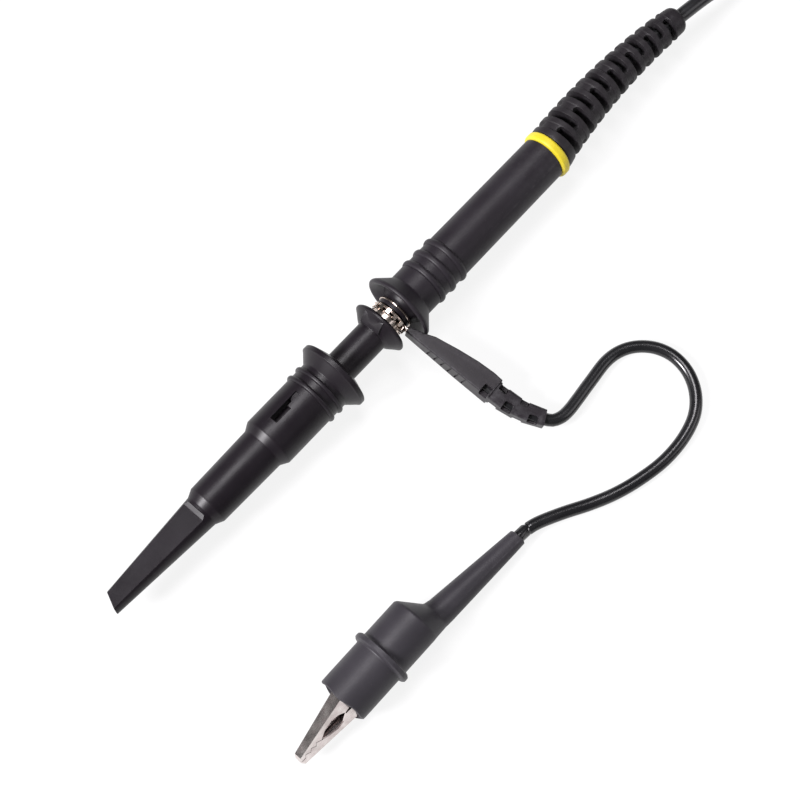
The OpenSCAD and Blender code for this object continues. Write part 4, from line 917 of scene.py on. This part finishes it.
def hook_barrel():
    """The barrel in the sleeve, with its rear flange and key, and the lug in the window."""
    outline = rounded([
        (BARREL_FRONT_X, 1.72), (BARREL_FRONT_X, 4.55), (94.44, 4.55), (BARREL_FLANGE_X, 5.5),
        (96.54, 7.2), (97.24, 8.1), (97.74, 8.1), (BARREL_END_X, 7.6), (BARREL_END_X, 2.55),
        (60, 2.55), (60, 1.72), (BARREL_FRONT_X, 1.72),
    ], 0.15)
    barrel = turned_piece("plunger_barrel", outline)
    key = slab("key", [
        (94.44, 3), (94.44, 4.7), (95.04, 5.55), (96.6, 6.95), (97.1, 7.15), (97.64, 7.15),
        (97.64, 3),
    ], "XZ", -3.1, 3.1)
    lug_line = [(66.3, 4), (66.3, 6.3), (67.2, 7.2), (68.7, 7.2), (68.7, 4)]
    lug = slab("lug", lug_line, "XZ", 0.1, 1.0)
    combined(barrel, [key, lug], "UNION")
    softened(barrel, 0.12, 2, 30)
    return finished(settled(barrel, HOOK_FRAME), SLEEVE_BLACK, "hook_barrel", "hook_barrel")


# ---------------------------------------------------------------- handle, marker ring and boot
def handle():
    """The hollow handle, with its dished flange, its ribs and the seat of the marker ring."""
    x = HANDLE_X
    ribs = [p for k in range(3) for p in rib(x + 10.3 + 4.15 * k, 0.95, 6.7, 7.3)]
    dish = rounded([
        (x + 2.4, COLLAR_R), (x + 2.4, 6.0), (x + 0.5, 8.2), (x - 0.2, 9.3), (x - 0.3, 9.95),
        (x + 0.2, 10.4), (x + 0.9, 10.2), (x + 4.7, 6.8), (x + 9.2, 6.8),
    ], 0.3, 4)
    rear = [
        (x + 21.65, 6.7), (COLOR_RING_X - 0.2, 6.56), (COLOR_RING_X, 6.4), (COLOR_RING_X, 6.1),
        (BOOT_X, 6.1), (BOOT_X, 5.03), (162.74, 5.03), (162.74, 3.53), (157.84, 3.53),
        (157.84, 5.2), (108.74, 5.2), (108.74, COLLAR_R), (x + 2.4, COLLAR_R),
    ]
    piece = smooth(turned_piece("handle_body", [*dish, *ribs, *rear]), 32)
    return finished(settled(piece, PROBE_FRAME), HANDLE_GREY, "root", "handle_shell")


def marker_ring():
    x, r = COLOR_RING_X, 7.3
    piece = turned_piece("marker_ring", rounded([
        (x, r - 1.17), (x + 0.02, r - 0.5), (x + 0.5, r), (BOOT_X - 0.5, r),
        (BOOT_X - 0.02, r - 0.5), (BOOT_X, r - 1.17), (x, r - 1.17),
    ], 0.4, 4))
    return finished(settled(smooth(piece, 40), PROBE_FRAME), RING_YELLOW, "root", "color_ring")


def boot_place(p):
    """Where a point of the straight boot, in mm from its base, lies once the boot is bent."""
    share = min(1, max(0, p.x / 1.8))
    heading = share * boot_heading(max(p.x, 0))
    middle = boot_point(p.x) if p.x > 0 else Vector((BOOT_X + p.x, 0, AXIS_H))
    middle.y -= (1 - share) * BOOT_LIFT if p.x > 0 else 0
    return middle + Vector((-p.y * math.sin(heading), p.y * math.cos(heading), p.z))


def boot_slot_cutters():
    """The first slot: two openings with round ends, with a web left between them on each side."""
    half_web, inset = 19, math.degrees(SLOT_LEN / 2 / 5.5)
    cutters = []
    for side in (0, 180):
        first, last = side + half_web + inset, side + 180 - half_web - inset
        wedge = [at_angle(0.9, last), at_angle(0.9, first)]
        wedge += [at_angle(11, a) for a in (first, (first + last) / 2, last)]
        cutters.append(slab("opening", wedge, "YZ", BOOT_BASE, BOOT_BASE + SLOT_LEN))
        for a in (first, last):
            out = Vector((0, *at_angle(1, a)))
            middle = Vector((BOOT_BASE + SLOT_LEN / 2, 0, 0)) + 5.6 * out
            cutters.append(rod("round_end", middle, out, SLOT_LEN / 2, 9.2, 20))
    return cutters


def boot_r(u):
    return (BOOT_D + (BOOT_END_D - BOOT_D) * u / BOOT_LEN) / 2


def cable_boot():
    """The tapering boot, turned and slotted while it is straight, and then bent."""
    outline = [(-3.5, 2.25), (-3.5, 5), (-0.02, 5), (0, 6.4), (0.35, 6.8), (0.9, 6.9)]
    for k in range(SLOTS):
        u = BOOT_BASE + k * SLOT_PITCH
        end, web_r = u + SLOT_LEN, boot_r(u) - 0.35
        outline += rounded([
            (u - 1.2, boot_r(u - 1)), (u, boot_r(u)), (u + 0.1, web_r), (end - 0.1, web_r),
            (end, boot_r(end)), (end + 0.9, boot_r(end + 0.9)),
        ], 0.2, 3)[1:-1]
    end = BOOT_LEN
    outline += rounded([
        (end - 4.4, 4.16), (end - 2.7, 4.15), (end - 1, 3.95), (end - 0.1, 3.2), (end, 2.25),
        (-3.5, 2.25),
    ], 0.5, 4)
    boot = turned_piece("slotted_cable_boot", outline, 80)
    first_slot = boot_slot_cutters()
    cutters = []
    for k in range(SLOTS):
        turn = FIRST_SLOT_TURN + NEXT_SLOT_TURN * (k % 2)
        cutters += [copied(cutter, (k * SLOT_PITCH, 0, 0), turn) for cutter in first_slot]
    for cutter in first_slot:
        bpy.data.objects.remove(cutter)
    combined(boot, cutters)
    softened(boot, 0.1, 2, 34)
    reshaped(boot, boot_place)
    return finished(boot, BOOT_RUBBER, "root", "cable_boot")


# ---------------------------------------------------------------- ground clip
def clip_housing():
    """The wedge-shaped housing, with its ridge, its grooves, and ways for spade and lead."""
    end = CLIP_LEN
    body = slab("clip_body", [
        (0, -0.8), (end, -0.8), (end, 5.4), (24.6, 5.6), (19.6, 5.3), (13.8, 4.5), (6.9, 3.2),
        (4, 2), (0, 0.9),
    ], "XY", -6, 6)
    side_line = [(0, 2), (end, 3.2), (end, -3.2), (16.56, -3.2), (0, -2)]
    side = slab("side", side_line, "XZ", -9, 9)
    ridge = slab("ridge", [(-1, 1.96), (29, 3.12), (29, -12), (-1, -12)], "XZ", -12, 12)
    ridge.data.transform(turned_about("X", 27))
    combined(body, [side], "INTERSECT")
    combined(body, [ridge], "INTERSECT")
    softened(body, 0.3, 3, 33)
    cutters = [
        block("pocket", (-1, -0.13, -1.68), (20.7, 0.43, 1.68)),
        rod("lead_way", (23.6, CLIP_AXIS_Y, 0), (1, 0, 0), 1.78, 10),
        block("corner_slot", (end - 2.9, -8, 0.55), (end - 0.5, CLIP_AXIS_Y - 0.55, 9)),
    ]
    for k in range(6):
        x, lean = end * 0.28 + 2.35 * k, 0.35
        high = 1.55 + 1.2 * x / end
        cutters.append(slab("groove", [
            (x - lean, -high), (x + 0.4 - lean, -high), (x + 0.4 + lean, high), (x + lean, high),
        ], "XZ", -1, -0.45))
    combined(body, cutters)
    body.data.transform(Matrix.Translation((CLIP_MOUTH / MM_PER_M, 0, 0)))
    evenly_lit(smooth(body, 30))
    return finished(settled(body, CLIP_FRAME), CLIP_GREY, "ground_clip", "clip_housing")


def relief_place(p):
    """Where a point of the straight relief, in mm from its start, lies once the relief is bent."""
    middle, steps = relief_point(0), 40
    for i in range(steps):
        a = relief_heading(p.x * (i + 0.5) / steps)
        middle = middle + p.x / steps * Vector((math.cos(a), math.sin(a), 0))
    a = relief_heading(p.x)
    return from_clip(middle + Vector((-p.y * math.sin(a), p.y * math.cos(a), p.z)))


def relief_heading(x):
    return math.radians(RELIEF_STEP * min(4, max(0, x / RELIEF_BLOCK - 0.5)))


def clip_relief():
    """A tapering bar with round edges, whose slots open two opposite corners in turn."""
    half, r = 2.9, 1.2
    corner = [(r * math.sin(a), r * math.cos(a)) for a in (0, 0.39, 0.79, 1.18, 1.57)]
    section = []
    for sy, sz in ((1, 1), (1, -1), (-1, -1), (-1, 1)):
        turn = corner if sy * sz > 0 else corner[::-1]
        section += [(sy * (half - r + y), sz * (half - r + z)) for y, z in turn]
    relief = drawn_line("clip_relief_sleeve", [(-0.2, y, z) for y, z in section])
    bpy.ops.mesh.edge_face_add()
    steps, narrow = 30, 0.78
    for i in range(steps):
        bpy.ops.mesh.extrude_region_move(
            TRANSFORM_OT_translate={"value": ((RELIEF_LEN + 0.2) / steps / MM_PER_M, 0, 0)}
        )
        share = (1 - (1 - narrow) * (i + 1) / steps) / (1 - (1 - narrow) * i / steps)
        bpy.ops.transform.resize(value=(1, share, share))
    closed_up()
    middle = (RELIEF_LEN / 2, 0, 0)
    ways = [rod("way", middle, (1, 0, 0), LEAD_D / 2 + 0.1, 2 * RELIEF_LEN, 40)]
    corner = softened(block("corner", (0.45, 0.5, 0.5), (2.95, 9, 9)), 0.5, 3, 40)
    for k in range(4):
        for turn in (0, 180):
            ways.append(copied(corner, (k * RELIEF_BLOCK, 0, 0), turn + 90 * (k % 2)))
    bpy.data.objects.remove(corner)
    combined(relief, ways)
    softened(relief, 0.16, 2, 40)
    reshaped(relief, relief_place)
    return finished(relief, CLIP_GREY, "ground_clip", "clip_relief")


def ground_spring_ring():
    """The clip's ring with its crown of lugs, split on the clip's side, and its two arms."""
    ring = turned_piece("ground_spring_ring", rounded([
        (-0.4, 4.11), (-0.4, 5.2), (0.4, 5.2), (0.4, 4.11), (-0.4, 4.11),
    ], 0.12), 80)
    lug = block("lug", (-1.15, 4.3, -0.55), (0.2, 5.35, 0.55))
    lugs = [copied(lug, about_x=26 * k - 66) for k in range(13)]
    bpy.data.objects.remove(lug)
    combined(ring, lugs, "UNION")
    split = block("split", (-5, -20, -0.75), (5, 0, 0.75))
    combined(ring, [split, rod("bore", (0, 0, 0), (1, 0, 0), 4.12, 9, 80)])
    softened(ring, 0.1, 2, 40)
    settled(ring, placed(RING_X, 0, AXIS_H))
    arms = [
        block("arm", (4.5, -0.1, z - 0.45), (CLIP_MOUTH + 2, 0.4, z + 0.45)) for z in (-1.2, 1.2)
    ]
    arms.append(block("spade", (CLIP_MOUTH + 1, -0.1, -1.65), (CLIP_MOUTH + 20, 0.4, 1.65)))
    arm = softened(joined("arms", arms), 0.08, 2, 40)
    contact = joined("ground_spring_ring", [ring, settled(arm, CLIP_FRAME)])
    return finished(contact, COLLAR_NICKEL, "ground_clip", "clip_contact")


def collar_hub():
    """The dark bush behind the clip's ring, and the thin metal washer round it."""
    hub = turned_piece("collar_bush", rounded([
        (102.35, COLLAR_R), (102.35, 4.8), (103.1, 5.0), (104.6, 5.2), (106.0, 6.0),
        (106.7, 7.0), (107.0, 6.4), (107.0, COLLAR_R), (102.35, COLLAR_R),
    ], 0.4), 80)
    finished(settled(smooth(hub), PROBE_FRAME), SLEEVE_BLACK, "root")
    washer = turned_piece("collar_washer", rounded([
        (103.3, COLLAR_R), (103.3, 5.35), (103.9, 5.35), (103.9, COLLAR_R), (103.3, COLLAR_R),
    ], 0.15), 80)
    finished(settled(smooth(washer), PROBE_FRAME), COLLAR_NICKEL, "root")


# ---------------------------------------------------------------- crocodile clip's cover
def cover_stations():
    """(place, height of the middle, radius) along the cover, from its mouth to the lead."""
    x, end, r = MOUTH_X + 14.6, COVER_END_X, COVER_R
    stations = [
        (MOUTH_X, 0, 6.55), (MOUTH_X + 0.25, 0, 6.9), (MOUTH_X + 3, 0, r), (MOUTH_X + 9, 0, r),
    ]
    stations += [
        (x - 1.5, 0, r), (x - 1.05, 0, 7.15), (x - 0.95, 0, 7.8), (x - 0.55, 0, 8.25), (x, 0, 8.3),
        (x + 0.55, 0, 8.25), (x + 0.95, 0, 7.8), (x + 1.05, 0, 7.15), (x + 1.5, 0, r),
    ]
    stations += [
        (end - 4, 0, r), (end - 0.5, 0, r), (end - 0.1, -0.03, 6.9), (end + 0.35, -0.2, 6.72),
        (end + 2.3, -1.75, 5.5), (end + 4.1, -3.2, 4.35), (end + 4.5, -3.5, 4.12),
        (end + 4.9, -3.68, 4.02), (end + 6.6, -4.05, 3.85),
    ]
    for k in range(1, 9):
        t = k / 9
        stations.append((end + 6.6 + t * 27.2, -4.05 - 2.85 * t, 3.85 - 1.45 * t))
    return stations + [(end + 34, -6.9, 2.36), (end + 34.2, -6.9, 2.15)]


def croc_cover():
    """The soft cover, drawn out of one ring, with a wavy mouth and a slightly bent tail."""
    clear_selection()
    stations = cover_stations()
    x, z, r = stations[0]
    bpy.ops.mesh.primitive_circle_add(
        vertices=64, radius=r / MM_PER_M, location=(x / MM_PER_M, 0, z / MM_PER_M),
        rotation=(0, math.pi / 2, 0),
    )
    cover = bpy.context.object
    cover.name = cover.data.name = "vinyl_cover"
    bpy.ops.object.transform_apply(location=True, rotation=True, scale=True)
    bpy.ops.object.mode_set(mode="EDIT")
    bpy.ops.mesh.select_all(action="SELECT")
    for (xa, za, ra), (xb, zb, rb) in zip(stations, stations[1:]):
        here, there = Vector((xa, 0, za)), Vector((xb, 0, zb))
        step = (there - here) / MM_PER_M
        bpy.ops.mesh.extrude_region_move(TRANSFORM_OT_translate={"value": step})
        bpy.ops.transform.resize(value=(1, rb / ra, rb / ra), center_override=there / MM_PER_M)
    bpy.ops.mesh.select_all(action="SELECT")
    bpy.ops.mesh.normals_make_consistent(inside=False)
    bpy.ops.object.mode_set(mode="OBJECT")
    for vertex in cover.data.vertices:
        p = vertex.co * MM_PER_M
        a = math.atan2(p.z, p.y)
        near = max(0, 1 - (p.x - MOUTH_X) / 6)
        p.x += 0.35 * near * math.sin(2 * a + 0.7) + 0.18 * near * math.sin(5 * a)
        if p.x > COVER_END_X:
            p.y -= 0.5 * min(1, (p.x - COVER_END_X) / 5)
        vertex.co = p / MM_PER_M
    wall = cover.modifiers.new("wall", "SOLIDIFY")
    wall.thickness = 0.9 / MM_PER_M
    wall.offset = -1
    chosen(cover)
    bpy.ops.object.modifier_apply(modifier=wall.name)
    softened(cover, 0.2, 2, 50)
    return finished(settled(cover, CROC_FRAME), COVER_PVC, "ground_clip", "croc_cover")


# ---------------------------------------------------------------- strap round the coil
def strap_tie():
    """The strap: a flat loop round all the turns of the coil, with its free end on top."""
    out_r, in_r, w, t = 31.4, 16.78, 8, 0.6
    low, high = -t, COIL_PITCH + CABLE_D + 0.1 + t
    middle = (in_r + out_r) / 2
    outline = rounded([
        (middle, low), (out_r + t, low), (out_r + t, high), (in_r - t, high), (in_r - t, low),
        (middle, low),
    ], 2.6, 6)
    inner = rounded([
        (middle, low + t), (out_r, low + t), (out_r, high - t), (in_r, high - t), (in_r, low + t),
        (middle, low + t),
    ], 2.1, 6)
    strap = slab("hook_and_loop_tie", outline[:-1], "XZ", -w / 2, w / 2)
    combined(strap, [slab("inside", inner[:-1], "XZ", -w, w)])
    tab = slab("tab", rounded([
        (in_r + 3, high - 0.1), (out_r - 1.5, high - 0.1), (out_r - 1.2, high + 0.4),
        (in_r + 3, high + 0.5), (in_r + 2.2, high + 0.1), (in_r + 3, high - 0.1),
    ], 0.2)[:-1], "XZ", -w / 2 + 0.3, w / 2 - 0.3)
    combined(strap, [tab], "UNION")
    softened(strap, 0.12, 2, 30)
    place = placed(COIL_CENTRE[0], COIL_CENTRE[1], t) @ turned_about("Z", 200)
    return finished(settled(strap, place), STRAP, "root", "coil_tie")


# ---------------------------------------------------------------- pieces kept from the frame
def kept(node, material, edge):
    """A good piece of the frame: it keeps its mesh and gets its finish, and maybe soft edges."""
    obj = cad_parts[node]
    obj.data.materials.clear()
    obj.data.materials.append(material)
    if edge:
        soft = obj.modifiers.new("soft_edges", "BEVEL")
        soft.width = edge / MM_PER_M
        soft.segments = 2
        soft.limit_method = "ANGLE"
        soft.angle_limit = math.radians(35)
        soft.harden_normals = True


studio()
strap_tie()
croc_cover()
held_wires()
free_cords()
hook_sleeve()
hook_barrel()
handle()
marker_ring()
cable_boot()
clip_housing()
clip_relief()
ground_spring_ring()
collar_hub()
for node, material, edge in (
    ("hook_wire", GOLD_CONTACT, 0), ("contact_socket", GOLD_CONTACT, 0),
    ("ground_collar", COLLAR_NICKEL, 0.08), ("insulator", WHITE_INSULATOR, 0),
    ("contact_needle", GOLD_CONTACT, 0), ("shield_tube", NICKEL, 0),
    ("circuit_board", BOARD_GREEN, 0), ("divider_resistor", RESISTOR_BLUE, 0),
    ("tip_capacitor", CAPACITOR_TAN, 0.2), ("crimp_ferrule", NICKEL, 0.1),
    ("box_boot", BOOT_RUBBER, 0.1), ("box_base", BOX_BLACK, 0.3), ("box_cover", BOX_BLACK, 0.3),
    ("box_board", BOARD_GREEN, 0), ("trimmer_body", WHITE_INSULATOR, 0.1),
    ("trimmer_screw", BRASS, 0.08), ("box_screws", SPRING_STEEL, 0.08),
    ("bnc_body", NICKEL, 0.1), ("bnc_collar", NICKEL, 0.12), ("bnc_washer", SPRING_STEEL, 0.08),
    ("bnc_insulator", WHITE_INSULATOR, 0.05), ("bnc_pin", GOLD_CONTACT, 0.05),
    ("fixed_jaw", JAW_NICKEL, 0.12), ("moving_jaw", JAW_NICKEL, 0.35),
    ("jaw_pin", SPRING_STEEL, 0.08), ("lead_crimp", NICKEL, 0.08),
):
    kept(node, material, edge)
